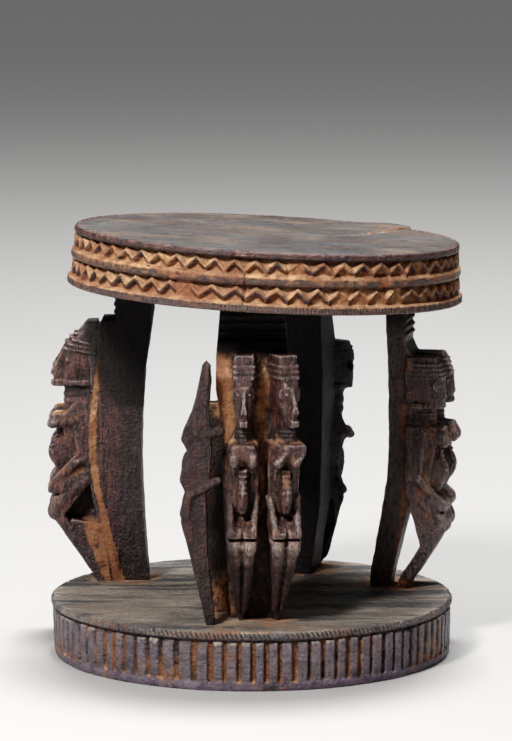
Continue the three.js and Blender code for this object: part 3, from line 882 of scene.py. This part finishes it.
def base_piece():
    bars_at = BASE_TOP - 1.3
    marks = [
        (0, 0, 9), (BASE_FOOT - 6, 0, 9), (BASE_FOOT - 0.8, 0, 1.3), (BASE_FOOT, 0.9, 1.2), (BASE_FOOT + 0.8, BAR_LOW - 1.4, 1.6),
        (BASE_FOOT + 0.9, BAR_LOW, 1), (bars_at - 0.6, BAR_LOW + 1, 1), (bars_at, BAR_HIGH - 2, 2.2),
        (bars_at, BAR_HIGH - 0.2, 0.6), (BASE_TOP - 1.6, BAR_HIGH + 0.3, 0.6), (BASE_TOP - 1.5, BAR_HIGH + 0.9, 0.6),
        (BASE_TOP - 0.3, BAR_HIGH + 1.9, 0.7), (BASE_TOP - 0.1, BASE_HEIGHT - 2.2, 0.7), (BASE_TOP - 1.0, BASE_HEIGHT - 0.6, 0.7),
        (BASE_TOP - 3.6, BASE_HEIGHT, 0.9), (BASE_TOP - 16, BASE_HEIGHT, 2.0), (0, BASE_HEIGHT, 4.0),
    ]
    base = spun("base", stepped(marks), BAR_COUNT, 16)
    points = points_of(base)
    radius, angle = polar(points)
    height = points[:, 2]
    turns = (angle / 360.0) % 1.0
    wander = ring_noise(np.radians(angle), 31, 1)
    phase = turns * BAR_COUNT + 0.13 * wander - 0.9 * smoothstep(-122, -92, angle) + 0.9 * smoothstep(-40, 60, angle)
    number = np.floor(phase).astype(int)
    share = phase - number
    seeds = varied(BAR_COUNT, 2)
    uneven = roughness_at(points, 5.0, 21)
    broad = roughness_at(points * np.array((1, 1, 0.5)), 24.0, 2)
    width = 0.325 + 0.035 * seeds[number % BAR_COUNT] + 0.02 * uneven
    off_middle = np.abs(share - 0.5 + 0.05 * seeds[(number + 31) % BAR_COUNT])
    gap = smoothstep(width - 0.03, width + 0.07, off_middle)
    low_end = BAR_LOW + 1.4 + 0.9 * seeds[(number + 50) % BAR_COUNT] + 0.3 * uneven
    high_end = BAR_HIGH - 1.7 + 0.8 * seeds[(number + 12) % BAR_COUNT] + 0.3 * uneven
    upright = smoothstep(BAR_LOW - 0.4, BAR_LOW + 0.8, height) * (1 - smoothstep(BAR_HIGH - 0.2, BAR_HIGH + 0.4, height))
    below = 1 - smoothstep(low_end - 0.9, low_end + 0.5, height)
    above = smoothstep(high_end - 0.4, high_end + 0.7, height)
    rim = radius > BASE_FOOT - 10
    cut = upright * np.maximum(gap, np.maximum(0.35 * below, 0.8 * above)) * rim
    rope = smoothstep(BAR_HIGH + 0.7, BAR_HIGH + 2.2, height) * smoothstep(BASE_TOP - 7, BASE_TOP - 3.5, radius)
    slant = turns * 276 + 0.13 * (height - 45) + 0.35 * wander + 0.12 * uneven
    nick = smoothstep(0.3, 0.9, np.abs((slant % 1.0) - 0.5) * 2) * (0.85 + 0.5 * broad)
    chips = smoothstep(0.35, 0.75, roughness_at(points, 8.0, 33)) * rope
    inward = 3.6 * cut + 3.1 * rope * nick + 1.4 * chips + rim * (0.4 + 0.4 * broad + 0.22 * uneven)
    scale = (radius - np.where(rim, np.clip(inward, 0, None), 0)) / np.maximum(radius, 1e-6)
    points[:, 0] *= scale
    points[:, 1] *= scale
    top = height > BASE_HEIGHT - 0.7
    adze = scoops_at(points, np.array((15.0, 5.0, 9.0)), 1) - 0.5
    patches = roughness_at(points, 30.0, 6)
    worked = -0.6 + 0.6 * adze + 0.4 * roughness_at(points, 25.0, 8) + 0.12 * uneven - 0.7 * chips
    points[:, 2] += np.where(top & (radius > 0.1), worked, 0)
    move_points(base, points)
    near = np.full(len(points), 1e3)
    for place in PLACES.values():
        facing = math.radians(place["facing"])
        middle = (place["x"] - 26 * math.cos(facing), place["y"] - 26 * math.sin(facing))
        near = np.minimum(near, np.hypot(points[:, 0] - middle[0], points[:, 1] - middle[1]))
    front_edge = smoothstep(-118, -156, points[:, 1]) * smoothstep(100, 30, np.abs(points[:, 0] - 12))
    top_dust = 0.5 * smoothstep(50, 26, near + 10 * patches) + 0.52 * front_edge * (0.8 + 0.5 * patches) + 0.06
    side_dust = (0.52 + 0.3 * roughness_at(points, 30.0, 44)) * gap * upright + 0.34 * rope * nick + 0.2 * upright * below + 0.16 + 0.22 * broad
    side_dust += 0.25 * roughness_at(points, 16.0, 41) * upright
    store(base, "dust", np.where(top, top_dust, side_dust * rim))
    # Painted highlight: the top end of each bar and the rope strands between nicks are made lighter, on top of rubbing.
    ends = upright * (1 - gap) * band(height, high_end - 1.2, high_end - 0.2, 0.5)
    worn = 0.16 * upright * (1 - gap) + 0.8 * ends + 0.45 * rope * (1 - nick)
    store(base, "wear_and_highlight", np.where(top, 0.8 + 0.3 * patches, worn))
    # Painted light: dust on upward faces turns paler.
    store(base, "top_light", smoothstep(0.1, 0.6, normals_of(base)[:, 2]))
    store(base, "ruddy", rim * (2.0 * smoothstep(BAR_LOW + 0.5, BAR_LOW - 1, height) + 0.42 * upright * (1 - gap) + 0.15))
    # Painted shade: darker in the gaps between bars, under the rope and in its nicks.
    store(base, "hollow", 0.5 + 0.3 * upright * gap + 0.45 * upright * above + 0.4 * rope * nick)
    return thinned(base, 190000)


# Seat

SEAT_CENTRE = (13.5, 0.0, 358.5)
SEAT_TOP = 160.2
SEAT_RIM = 167.6
SEAT_THICKNESS = 49.5
SEAT_ROUNDNESS = 0.98
SEAT_DROP_RIGHT = math.radians(2.95)
SEAT_DROP_FRONT = math.radians(0.77)
LIP = SEAT_TOP + 2.6
TOOTH_COUNT = 58
TOOTH_SWING = 4.0
TOOTH_RELIEF = 3.1
CRACK_PATH = ((8, -30), (35, -12), (57, 1.7), (70, 6.8), (95, 21.6), (117, 30.3), (143, 36.1), (164, 37.8))


def teeth(turns, depth, field, seed):
    """One ring of zigzag strokes: how far each point is on a stroke, the level beside it, and its number."""
    top, bottom, middle = field
    angles = 2 * math.pi * turns
    phase = turns * TOOTH_COUNT + 0.16 * ring_noise(angles, 29, seed)
    number = np.floor(phase * 2).astype(int) % (2 * TOOTH_COUNT)
    odd = varied(2 * TOOTH_COUNT, seed)
    corner = varied(2 * TOOTH_COUNT, seed + 1)
    share = (phase * 2) % 1.0
    rising = number % 2 == 0
    start = np.where(rising, -1.0, 1.0) + 0.22 * corner[number]
    end = np.where(rising, 1.0, -1.0) + 0.22 * corner[(number + 1) % (2 * TOOTH_COUNT)]
    centre = middle + TOOTH_SWING * (start + (end - start) * share) + 0.4 * ring_noise(angles, 11, seed + 2)
    run = 1040.0 / TOOTH_COUNT / 2
    distance = np.abs(depth - centre) / math.hypot(1, 2 * TOOTH_SWING / run)
    half = 2.75 + 0.35 * odd[number]
    crest = np.clip(1 - (distance / half) ** 2, 0, 1) ** 0.6
    over = np.clip((depth - top) / np.maximum(centre - top, 0.5), 0, 1)
    under = np.clip((depth - centre) / np.maximum(bottom - centre, 0.5), 0, 1)
    level = np.where(depth < centre, -2.9 + 2.7 * over, -2.6 + 1.6 * under)
    return crest * (0.9 + 0.14 * odd[number]), level, number


def seat_piece():
    upper = (7.4, 19.0, 13.2)
    lower = (28.6, 42.2, 35.3)
    ground_at = LIP - 2.2
    marks = [
        (0, 0, 7), (SEAT_TOP - 24, 0, 3.2), (SEAT_TOP - 3, 0, 1.9), (LIP - 1.2, -0.8, 0.9), (LIP, -2.2, 0.8),
        (LIP + 0.2, -5.4, 0.9), (LIP - 0.8, -6.6, 0.7), (ground_at - 0.8, -7.0, 0.7), (ground_at, -19, 0.6),
        (LIP + 0.4, -19.6, 0.7), (LIP + 1.8, -21.0, 0.7), (LIP + 2.2, -25.6, 0.9), (LIP + 1.2, -27.6, 0.7),
        (ground_at + 1.2, -28.4, 0.6), (ground_at + 2.0, -42.2, 0.6), (SEAT_RIM - 1.4, -42.9, 0.7), (SEAT_RIM - 0.3, -44, 0.7),
        (SEAT_RIM, -48.4, 0.8), (SEAT_RIM - 1.3, -SEAT_THICKNESS, 0.8), (SEAT_RIM - 10, -SEAT_THICKNESS, 3),
        (0, -SEAT_THICKNESS, 12),
    ]
    seat = spun("seat", stepped(marks), TOOTH_COUNT, 20)
    points = points_of(seat)
    radius, angle = polar(points)
    depth = -points[:, 2]
    turns = (angle / 360.0) % 1.0
    rim = radius > SEAT_TOP - 3
    uneven = roughness_at(points, 7.0, 2)
    broad = roughness_at(points, 26.0, 9)
    fine = roughness_at(points, 2.6, 5)
    relief = np.zeros(len(points))
    level = np.zeros(len(points))
    ground = np.zeros(len(points))
    fade = np.zeros(len(points))
    for field, seed in ((upper, 3), (lower, 8)):
        fade = np.maximum(fade, band(depth, field[0] + 0.3, field[1] - 0.5, 0.8))
        inside = rim & (depth > field[0] - 0.3) & (depth < field[1] + 0.3)
        crest, beside_it, number = teeth(turns, depth, field, seed)
        if field is upper:
            lost = band(angle, -84, -80, 0.8) + 0.8 * band(angle, -41, -38, 0.8)
        else:
            falling = number % 2 == 0
            lost = band(angle, -116.5, -112.5, 0.8) + np.where(falling, 0.9, 0.15) * band(angle, -70, -46, 2)
        relief = np.where(inside, crest * (1 - np.clip(lost, 0, 1)), relief)
        level = np.where(inside, beside_it * (1 - 0.6 * np.clip(lost, 0, 1)), level)
        ground = np.where(inside, 1.0, ground)
    level *= fade
    ground *= fade
    outward = TOOTH_RELIEF * relief * (1 + 0.2 * uneven) + level * (1 - relief) - 0.35 * ground * (1 + uneven)
    lower_lip = rim & (depth > 43.2)
    nick = np.abs(((turns * 345 + 0.3 * uneven) % 1.0) - 0.5) * 2
    nick = smoothstep(0.4, 0.95, nick) * lower_lip * smoothstep(49.6, 48, depth)
    middle_ridge = rim * band(depth, 20, 27, 0.8)
    notches = smoothstep(0.55, 0.9, roughness_at(points, 6.0, 27))
    outward -= 1.1 * nick + 0.9 * notches * (middle_ridge + rim * (depth < 6.5))
    upper_lip = rim & (depth < 6.8) & (depth > 0.6)
    outward -= 0.5 * upper_lip * np.clip(roughness_at(points, 3.4, 71) + 0.3, 0, 1)
    outward -= rim * (0.3 + 0.35 * broad + 0.2 * fine + 0.25 * uneven)
    scar = band(angle, -55.6, -52.6, 0.8) * band(depth, 18, 30, 1.5)
    outward -= rim * scar * 2.6
    # The vertical crack, and the lip broken off above it
    upright_crack = np.exp(-(((angle + 96.4 + 0.25 * uneven) / 0.25) ** 2)) * rim * smoothstep(17, 20, depth)
    outward -= 2.4 * upright_crack
    broken = band(angle + 0.9 * fine, -99.4, -94.4, 0.8) * rim * (depth < 7.6)
    outward -= broken * (1.7 + 1.0 * uneven)
    # The long crack across the top, its far side a little higher
    course = np.interp(radius, [r for r, _ in CRACK_PATH], [a for _, a in CRACK_PATH])
    beside = np.radians(angle - course) * radius + 1.5 * roughness_at(points, 5.0, 15) + 0.6 * fine
    on_top = depth < 7.4
    groove = np.exp(-((beside / 0.9) ** 2)) * smoothstep(14, 60, radius) * on_top
    far_side = smoothstep(-0.3, 0.5, beside) * (1 - smoothstep(25, 70, beside)) * smoothstep(40, 150, radius) * on_top
    lifted_edge = np.exp(-(((beside - 1.6) / 1.5) ** 2)) * smoothstep(50, 100, radius) * on_top
    outward -= rim * far_side * 1.6 * (beside < 12)
    scale = (radius + np.where(rim, outward, 0)) / np.maximum(radius, 1e-6)
    points[:, 0] *= np.where(radius > 1, scale, 1)
    points[:, 1] *= np.where(radius > 1, scale, 1)
    flat_top = depth < 0.7
    scoop = scoops_at(points, np.array((36.0, 9.0, 20.0)), 2) - 0.5
    worked = -0.5 + 0.35 * broad + 0.4 * scoop + 0.1 * fine - 0.7 * smoothstep(SEAT_TOP - 12, SEAT_TOP, radius)
    points[:, 2] += flat_top * worked + 2.3 * far_side - 1.6 * groove - 1.1 * broken * flat_top
    move_points(seat, points)
    facing_up = smoothstep(-0.05, 0.5, normals_of(seat)[:, 2])
    patches = roughness_at(points, 34.0, 3)
    bare = (1 - 0.8 * facing_up) * np.clip(0.7 + 0.9 * roughness_at(points, 9.0, 51), 0, 1)
    # Painted shade: the lower faces of the strokes show dark bare wood instead of dust and get no lightening.
    shaded_underside = smoothstep(0.05, -0.45, normals_of(seat)[:, 2]) * smoothstep(0.1, 0.4, relief)
    bared = np.maximum(smoothstep(0.5, 0.9, relief) * bare, 0.85 * shaded_underside)
    side_dust = ground * (0.95 - 0.7 * bared) + 0.3 * uneven * ground
    side_dust += rim * (0.85 * band(depth, 18.6, 21.4, 1.0) + 0.95 * band(depth, 41.6, 43.4, 0.8))
    side_dust += middle_ridge * (0.34 + 0.35 * uneven + 0.5 * facing_up)
    side_dust += lower_lip * (0.1 + 0.3 * nick + 0.2 * broad + 0.15 * facing_up) + upper_lip * (0.08 + 0.2 * broad)
    side_dust += rim * (0.6 * scar + 0.4 * broken)
    top_dust = flat_top * (0.08 + 0.2 * patches) + 0.4 * groove + 0.35 * lifted_edge
    store(seat, "dust", np.where(rim & ~flat_top, side_dust, top_dust))
    crest_wear = 0.42 * bared * (1 - shaded_underside) + 0.1 * upper_lip * (1 + 0.9 * uneven) + 0.55 * lower_lip * (1 - nick)
    crest_wear += 0.38 * middle_ridge * (1 + 0.6 * uneven)
    # Painted highlight: the lifted edge of the crack is made lighter here, and redder below.
    store(seat, "wear_and_highlight", np.where(flat_top, 0.75 + 0.35 * patches + 0.6 * lifted_edge, crest_wear))
    # Painted shadow under each stroke and under the lip; the cracks darker too.
    shadow_below = ground * (1 - relief) * smoothstep(-1.4, -2.4, level)
    under_lip_shadow = rim * band(depth, 5.6, 8.6, 0.6)
    store(seat, "hollow", 0.5 + 0.5 * shadow_below + 0.5 * under_lip_shadow + 0.5 * groove + 0.5 * upright_crack)
    # Painted light: dust on the rim's upward faces turns paler.
    store(seat, "top_light", facing_up * rim)
    store(seat, "ruddy", rim * (0.75 + 0.4 * broken) + 0.8 * lifted_edge)
    thinned(seat, 197000)
    place = (
        Matrix.Translation(SEAT_CENTRE)
        @ Matrix.Rotation(SEAT_DROP_FRONT, 4, "X")
        @ Matrix.Rotation(SEAT_DROP_RIGHT, 4, "Y")
        @ Matrix.Diagonal((1.0, SEAT_ROUNDNESS, 1.0, 1.0))
    )
    seat.data.transform(place)
    return seat


# Finish

def node(tree, kind, inputs=None, **settings):
    made = tree.nodes.new(kind)
    for name, value in settings.items():
        setattr(made, name, value)
    for socket, value in (inputs or {}).items():
        if isinstance(value, bpy.types.NodeSocket):
            tree.links.new(value, made.inputs[socket])
        else:
            made.inputs[socket].default_value = value
    return made


def mix(tree, share, first, second, blend="MIX"):
    made = node(tree, "ShaderNodeMix", data_type="RGBA", blend_type=blend)
    for socket, value in ((0, share), (6, first), (7, second)):
        if isinstance(value, bpy.types.NodeSocket):
            tree.links.new(value, made.inputs[socket])
        else:
            made.inputs[socket].default_value = value
    return made.outputs[2]


def math_node(tree, operation, *values, clamp=False):
    made = node(tree, "ShaderNodeMath", dict(enumerate(values)), operation=operation, use_clamp=clamp)
    return made.outputs[0]


def ramp(tree, value, low, high, to_low=0.0, to_high=1.0):
    inputs = {"Value": value, "From Min": low, "From Max": high, "To Min": to_low, "To Max": to_high}
    return node(tree, "ShaderNodeMapRange", inputs, interpolation_type="SMOOTHSTEP").outputs[0]


def noise_value(tree, place, scale, detail=5.0, roughness=0.6):
    inputs = {"Vector": place, "Scale": scale, "Detail": detail, "Roughness": roughness}
    return node(tree, "ShaderNodeTexNoise", inputs).outputs[0]


def summed(tree, *terms):
    total = terms[0]
    for term in terms[1:]:
        total = math_node(tree, "ADD", total, term)
    return total


def wood_material(name, finish, grain_scale, grain_depth, warm, cool, ruddy, worn, worn_cool):
    """Old carved wood: dark oily wood, grain, edges lightened by rubbing and by painted highlights, ochre dust in the
    hollows, paler where it faces up as painted light, and painted shade in recesses and under the seat.
    """
    material = bpy.data.materials.new(name)
    material.use_nodes = True
    tree = material.node_tree
    shader = tree.nodes["Principled BSDF"]
    dark, crumbs = tuple(finish.dark), tuple(finish.crumbs)
    place = node(tree, "ShaderNodeTexCoord").outputs["Object"]
    marks = {mark: node(tree, "ShaderNodeAttribute", attribute_name=mark).outputs["Fac"]
             for mark in ("dust", "wear_and_highlight", "hollow", "soot_and_shade", "ruddy", "top_light")}
    stretched = node(tree, "ShaderNodeMapping", {"Vector": place, "Scale": grain_scale}).outputs[0]
    grain = noise_value(tree, stretched, 1.0, 6.0, 0.6)
    fibres = noise_value(tree, stretched, 2.7, 4.0, 0.65)
    patches = noise_value(tree, place, 26.0)
    mottle = noise_value(tree, place, 115.0, 5.0, 0.62)
    specks = noise_value(tree, place, 430.0, 5.0, 0.7)
    pits = node(tree, "ShaderNodeTexVoronoi", {"Vector": place, "Scale": 360.0, "Randomness": 1.0}).outputs[0]

    wood = mix(tree, ramp(tree, patches, 0.38, 0.62), warm, cool)
    streaked = math_node(tree, "MULTIPLY", ramp(tree, mottle, 0.3, 0.55, 0.35, 1.0), ramp(tree, fibres, 0.32, 0.55, 0.6, 1.0))
    wood = mix(tree, math_node(tree, "MULTIPLY", marks["ruddy"], streaked, clamp=True), wood, ruddy)
    wood = mix(tree, ramp(tree, grain, 0.4, 0.62, grain_depth, 0.0), wood, dark)
    wood = mix(tree, ramp(tree, mottle, 0.34, 0.56, 0.75 * grain_depth, 0.0), wood, dark)
    # Painted shade: recesses darken the wood.
    wood = mix(tree, ramp(tree, marks["hollow"], 0.5, 0.85, 0.0, 0.8), wood, dark)
    # Rubbing and painted highlights lighten the wood.
    rub = math_node(tree, "MULTIPLY", marks["wear_and_highlight"], ramp(tree, fibres, 0.36, 0.6, 1 - grain_depth, 1.0), clamp=True)
    bared = mix(tree, ramp(tree, noise_value(tree, stretched, 0.35, 4.0, 0.6), 0.42, 0.6), worn, worn_cool)
    wood = mix(tree, rub, wood, bared)
    wood = mix(tree, ramp(tree, specks, 0.54, 0.7, 0.0, 0.6), wood, dark)

    # Painted light: dust facing up turns paler.
    lit = math_node(tree, "MULTIPLY", ramp(tree, mottle, 0.36, 0.62, 0.35, 1.0), marks["top_light"])
    earth = mix(tree, math_node(tree, "MAXIMUM", lit, ramp(tree, mottle, 0.44, 0.68, 0.0, 0.4)), tuple(finish.ochre),
                tuple(finish.lit_and_pale_ochre))
    earth = mix(tree, ramp(tree, patches, 0.4, 0.6, 0.0, 0.75), earth, tuple(finish.red_earth))
    earth = mix(tree, ramp(tree, specks, 0.52, 0.7, 0.0, 0.6), earth, crumbs)
    # Painted shade: dust in recesses darkens to the crumb colour.
    earth = mix(tree, ramp(tree, marks["hollow"], 0.55, 0.95, 0.0, 0.6), earth, crumbs)
    spread = summed(
        tree, marks["dust"], ramp(tree, mottle, 0.3, 0.7, -0.22, 0.22), ramp(tree, specks, 0.3, 0.7, -0.14, 0.14),
        ramp(tree, patches, 0.35, 0.65, -0.12, 0.12), ramp(tree, fibres, 0.3, 0.7, -0.1, 0.1),
    )
    cover = ramp(tree, spread, 0.26, 0.78, 0.0, 0.95)
    colour = mix(tree, cover, wood, earth)
    # Sooty black and painted shade: near-black where the posts lie in shade.
    colour = mix(tree, math_node(tree, "MULTIPLY", marks["soot_and_shade"], 0.9), colour, tuple(finish.soot_and_shade))
    tree.links.new(colour, shader.inputs["Base Color"])

    gloss = summed(
        tree, ramp(tree, fibres, 0.35, 0.65, 0.24, 0.40), math_node(tree, "MULTIPLY", marks["wear_and_highlight"], -0.04),
        math_node(tree, "MULTIPLY", cover, 0.42), math_node(tree, "MULTIPLY", marks["soot_and_shade"], 0.35),
    )
    tree.links.new(gloss, shader.inputs["Roughness"])
    shader.inputs["Specular IOR Level"].default_value = 0.55
    relief = summed(
        tree, math_node(tree, "MULTIPLY", grain, 0.6), math_node(tree, "MULTIPLY", fibres, 0.5),
        math_node(tree, "MULTIPLY", specks, 0.95), math_node(tree, "MULTIPLY", pits, -0.45),
        math_node(tree, "MULTIPLY", mottle, 0.7), math_node(tree, "MULTIPLY", cover, 0.3),
    )
    bump = node(tree, "ShaderNodeBump", {"Height": relief, "Distance": 0.0015, "Strength": 0.9})
    tree.links.new(bump.outputs[0], shader.inputs["Normal"])
    return material


def finished(obj, material):
    """Brings a piece to metres, smooths its shading and ties it to the frame."""
    obj.data.transform(Matrix.Scale(MM, 4))
    obj.data.update()
    obj.data.shade_smooth()
    obj.data.materials.clear()
    obj.data.materials.append(material)
    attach(obj, "root")
    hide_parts("stool")
    return obj


def colour_setting(name, description, default):
    return bpy.props.FloatVectorProperty(
        name=name, description=description, subtype="COLOR", size=4, min=0.0, max=1.0, default=(*default, 1.0),
    )


class StoolFinish(bpy.types.PropertyGroup):
    # Also the colour of the painted shade in recesses.
    dark: colour_setting("Dark wood", "Colour of the oldest, darkest wood", (0.007, 0.004, 0.005))
    warm: colour_setting("Warm wood", "Colour of the browner wood", (0.046, 0.024, 0.018))
    cool: colour_setting("Cool wood", "Colour of the purple-grey wood", (0.036, 0.025, 0.036))
    ruddy: colour_setting("Red wood", "Colour of the redder wood of the figures", (0.140, 0.050, 0.045))
    # This lighter colour also paints the highlights on raised parts.
    worn: colour_setting("Worn wood", "Colour of rubbed edges", (0.380, 0.290, 0.245))
    worn_cool: colour_setting("Worn wood, cooler", "Colour of rubbed edges where they are greyer", (0.300, 0.250, 0.255))
    seat_worn: colour_setting("Seat top", "Colour of the worn seat top", (0.172, 0.132, 0.104))
    top_cool: colour_setting("Cooler tops", "Colour of the bluish parts of the seat and base tops", (0.112, 0.117, 0.118))
    base_side: colour_setting("Base side", "Colour of the purple-grey bars", (0.085, 0.062, 0.076))
    violet: colour_setting("Violet wood", "Colour of the violet bloom on the base", (0.215, 0.165, 0.222))
    base_worn: colour_setting("Base top", "Colour of the worn base top", (0.400, 0.345, 0.285))
    # Painted shade: this near-black is laid where the seat and figures cast shade, as well as on sooty wood.
    soot_and_shade: colour_setting("Sooty wood", "Colour of the tops of the posts under the seat", (0.005, 0.0035, 0.003))
    ochre: colour_setting("Ochre dust", "Colour of the dust in the hollows", (0.325, 0.138, 0.055))
    # Also the colour of the painted light on dust that faces up.
    lit_and_pale_ochre: colour_setting("Pale dust", "Colour of the paler dust", (0.680, 0.430, 0.250))
    red_earth: colour_setting("Red earth", "Colour of the redder crust", (0.250, 0.092, 0.046))
    # Also the colour of painted shade in dusty recesses.
    crumbs: colour_setting("Crumbs", "Colour of the dark crumbs in the dust", (0.050, 0.026, 0.017))


class StoolCarving(bpy.types.PropertyGroup):
    fineness: bpy.props.FloatProperty(
        name="Fineness", description="Size of the smallest carved form on the posts", subtype="DISTANCE", unit="LENGTH",
        default=0.0008, min=0.0005, max=0.003,
    )


class StoolStage(bpy.types.PropertyGroup):
    floor_colour: colour_setting("Floor", "Colour of the floor", (0.380, 0.377, 0.372))
    key_power: bpy.props.FloatProperty(name="Key light", description="Power of the main soft light", default=68.0)
    sky_power: bpy.props.FloatProperty(name="Overhead light", description="Power of the light above", default=415.0)
    sky_even: bpy.props.FloatProperty(name="Even light", description="Strength of the even light from above", default=1.0)
    room_power: bpy.props.FloatProperty(name="Room light", description="Strength of the light all round", default=0.06)


def post_voxel(context):
    voxel = context.scene.stool_carving.fineness / MM
    return voxel


def carve_post(context, name, parts, rule, most_triangles, coarser=1.0):
    finish = context.scene.stool_finish
    voxel = post_voxel(context) * coarser
    post = carved_post(name, parts, voxel, most_triangles, PLACES[name], rule)
    material = wood_material(
        name + "_wood", finish, (320.0, 320.0, 34.0), 0.8, tuple(finish.warm), tuple(finish.cool), tuple(finish.ruddy),
        tuple(finish.worn), tuple(finish.worn_cool),
    )
    return finished(post, material)


class STOOL_OT_base(bpy.types.Operator):
    """Adds the round base with its ring of bars"""
    bl_idname = "stool.base"
    bl_label = "Base"

    def execute(self, context):
        finish = context.scene.stool_finish
        material = wood_material(
            "base_wood", finish, (18.0, 150.0, 150.0), 0.32, tuple(finish.base_side), tuple(finish.cool),
            tuple(finish.violet), tuple(finish.base_worn), tuple(finish.top_cool),
        )
        finished(base_piece(), material)
        return {"FINISHED"}


class STOOL_OT_seat(bpy.types.Operator):
    """Adds the round seat with its two rings of zigzag"""
    bl_idname = "stool.seat"
    bl_label = "Seat"

    def execute(self, context):
        finish = context.scene.stool_finish
        material = wood_material(
            "seat_wood", finish, (7.0, 110.0, 170.0), 0.5, tuple(finish.warm), tuple(finish.cool), tuple(finish.ruddy),
            tuple(finish.seat_worn), tuple(finish.top_cool),
        )
        finished(seat_piece(), material)
        return {"FINISHED"}


class STOOL_OT_front_post(bpy.types.Operator):
    """Adds the front post with its standing pair and the thin figure beside them"""
    bl_idname = "stool.front_post"
    bl_label = "Front post"

    def execute(self, context):
        carve_post(context, "front_post", front_post_parts(), front_marks, 195000)
        return {"FINISHED"}


class STOOL_OT_left_post(bpy.types.Operator):
    """Adds the left post with its pair seen from the side"""
    bl_idname = "stool.left_post"
    bl_label = "Left post"

    def execute(self, context):
        carve_post(context, "left_post", left_post_parts(), left_marks, 180000)
        return {"FINISHED"}


class STOOL_OT_right_post(bpy.types.Operator):
    """Adds the right post with its pair seen from the side"""
    bl_idname = "stool.right_post"
    bl_label = "Right post"

    def execute(self, context):
        carve_post(context, "right_post", right_post_parts(), right_marks, 160000)
        return {"FINISHED"}


class STOOL_OT_rear_post(bpy.types.Operator):
    """Adds the rear post with its plainer pair, in the shade behind"""
    bl_idname = "stool.rear_post"
    bl_label = "Rear post"

    def execute(self, context):
        carve_post(context, "rear_post", rear_post_parts(), rear_marks, 75000, 1.4)
        return {"FINISHED"}


FILM_CURVE = ((0.007, 0.002), (0.021, 0.010), (0.045, 0.032), (0.102, 0.098), (0.188, 0.198), (0.352, 0.386), (0.578, 0.622))


def soft_light(name, place, aim, size, power, colour):
    data = bpy.data.lights.new(name, "AREA")
    data.shape = "RECTANGLE"
    data.size, data.size_y = size
    data.energy = power
    data.color = colour
    light = bpy.data.objects.new(name, data)
    light.location = place
    light.rotation_euler = (Vector(aim) - Vector(place)).to_track_quat("-Z", "Y").to_euler()
    bpy.context.scene.collection.objects.link(light)


def deepen_blacks(view):
    """A gentle film curve: shadows a little deeper, lights a little lighter."""
    view.use_curve_mapping = True
    curve = view.curve_mapping.curves[3]
    for before, after in FILM_CURVE:
        curve.points.new(before, after)
    view.curve_mapping.update()


class STOOL_OT_stage(bpy.types.Operator):
    """Adds the floor, the lights and the camera"""
    bl_idname = "stool.stage"
    bl_label = "Stage"

    def execute(self, context):
        scene = context.scene
        stage = scene.stool_stage
        bm = bmesh.new()
        bmesh.ops.create_circle(bm, cap_ends=True, segments=96, radius=45.0)
        floor = object_from(bm, "floor")
        material = bpy.data.materials.new("floor_paint")
        material.use_nodes = True
        shader = material.node_tree.nodes["Principled BSDF"]
        shader.inputs["Base Color"].default_value = tuple(stage.floor_colour)
        shader.inputs["Roughness"].default_value = 0.85
        shader.inputs["Specular IOR Level"].default_value = 0.15
        floor.data.materials.append(material)
        soft_light("key", (-0.885, -1.632, 1.85), (0.0, 0.0, 0.18), (0.36, 0.6), stage.key_power, (1.0, 0.98, 0.955))
        soft_light("overhead", (0.35, 1.0, 5.3), (0.35, 1.0, 0.0), (1.2, 1.2), stage.sky_power, (1.0, 0.995, 0.99))
        even = bpy.data.lights.new("even", "SUN")
        even.energy = stage.sky_even
        even.angle = math.radians(60)
        context.scene.collection.objects.link(bpy.data.objects.new("even", even))
        world = bpy.data.worlds.new("room")
        world.use_nodes = True
        background = world.node_tree.nodes["Background"]
        background.inputs["Color"].default_value = (0.93, 0.97, 1.0, 1.0)
        background.inputs["Strength"].default_value = stage.room_power
        scene.world = world
        scene.view_settings.view_transform = "Standard"
        deepen_blacks(scene.view_settings)
        camera_data = bpy.data.cameras.new("camera")
        camera_data.sensor_width = 36.0
        camera_data.sensor_fit = "AUTO"
        camera_data.lens = 161.4
        camera_data.clip_end = 120.0
        camera = bpy.data.objects.new("camera", camera_data)
        camera.location = (-0.0008, -2.8, 0.598)
        camera.rotation_euler = (math.radians(90 - 7.28), 0.0, math.radians(-0.09))
        scene.collection.objects.link(camera)
        scene.camera = camera
        return {"FINISHED"}


class STOOL_PT_panel(bpy.types.Panel):
    """Lists the pieces of the stool"""
    bl_label = "Carved Stool"
    bl_idname = "STOOL_PT_panel"
    bl_space_type = "VIEW_3D"
    bl_region_type = "UI"
    bl_category = "Stool"

    def draw(self, context):
        layout = self.layout
        for operator in OPERATORS:
            layout.operator(operator.bl_idname)
        for group in (context.scene.stool_carving, context.scene.stool_finish, context.scene.stool_stage):
            box = layout.box()
            for name in group.bl_rna.properties.keys():
                if name not in ("rna_type", "name"):
                    box.prop(group, name)


OPERATORS = (
    STOOL_OT_base, STOOL_OT_seat, STOOL_OT_front_post, STOOL_OT_left_post, STOOL_OT_right_post, STOOL_OT_rear_post,
    STOOL_OT_stage,
)
SETTINGS = {"stool_finish": StoolFinish, "stool_carving": StoolCarving, "stool_stage": StoolStage}


def register():
    for group in (*SETTINGS.values(), *OPERATORS, STOOL_PT_panel):
        bpy.utils.register_class(group)
    for name, group in SETTINGS.items():
        setattr(bpy.types.Scene, name, bpy.props.PointerProperty(type=group))


def unregister():
    for name in SETTINGS:
        delattr(bpy.types.Scene, name)
    for group in reversed((*SETTINGS.values(), *OPERATORS, STOOL_PT_panel)):
        bpy.utils.unregister_class(group)


def main():
    register()
    for operator in OPERATORS:
        group, name = operator.bl_idname.split(".")
        getattr(getattr(bpy.ops, group), name)()


if __name__ == "__main__":
    main()
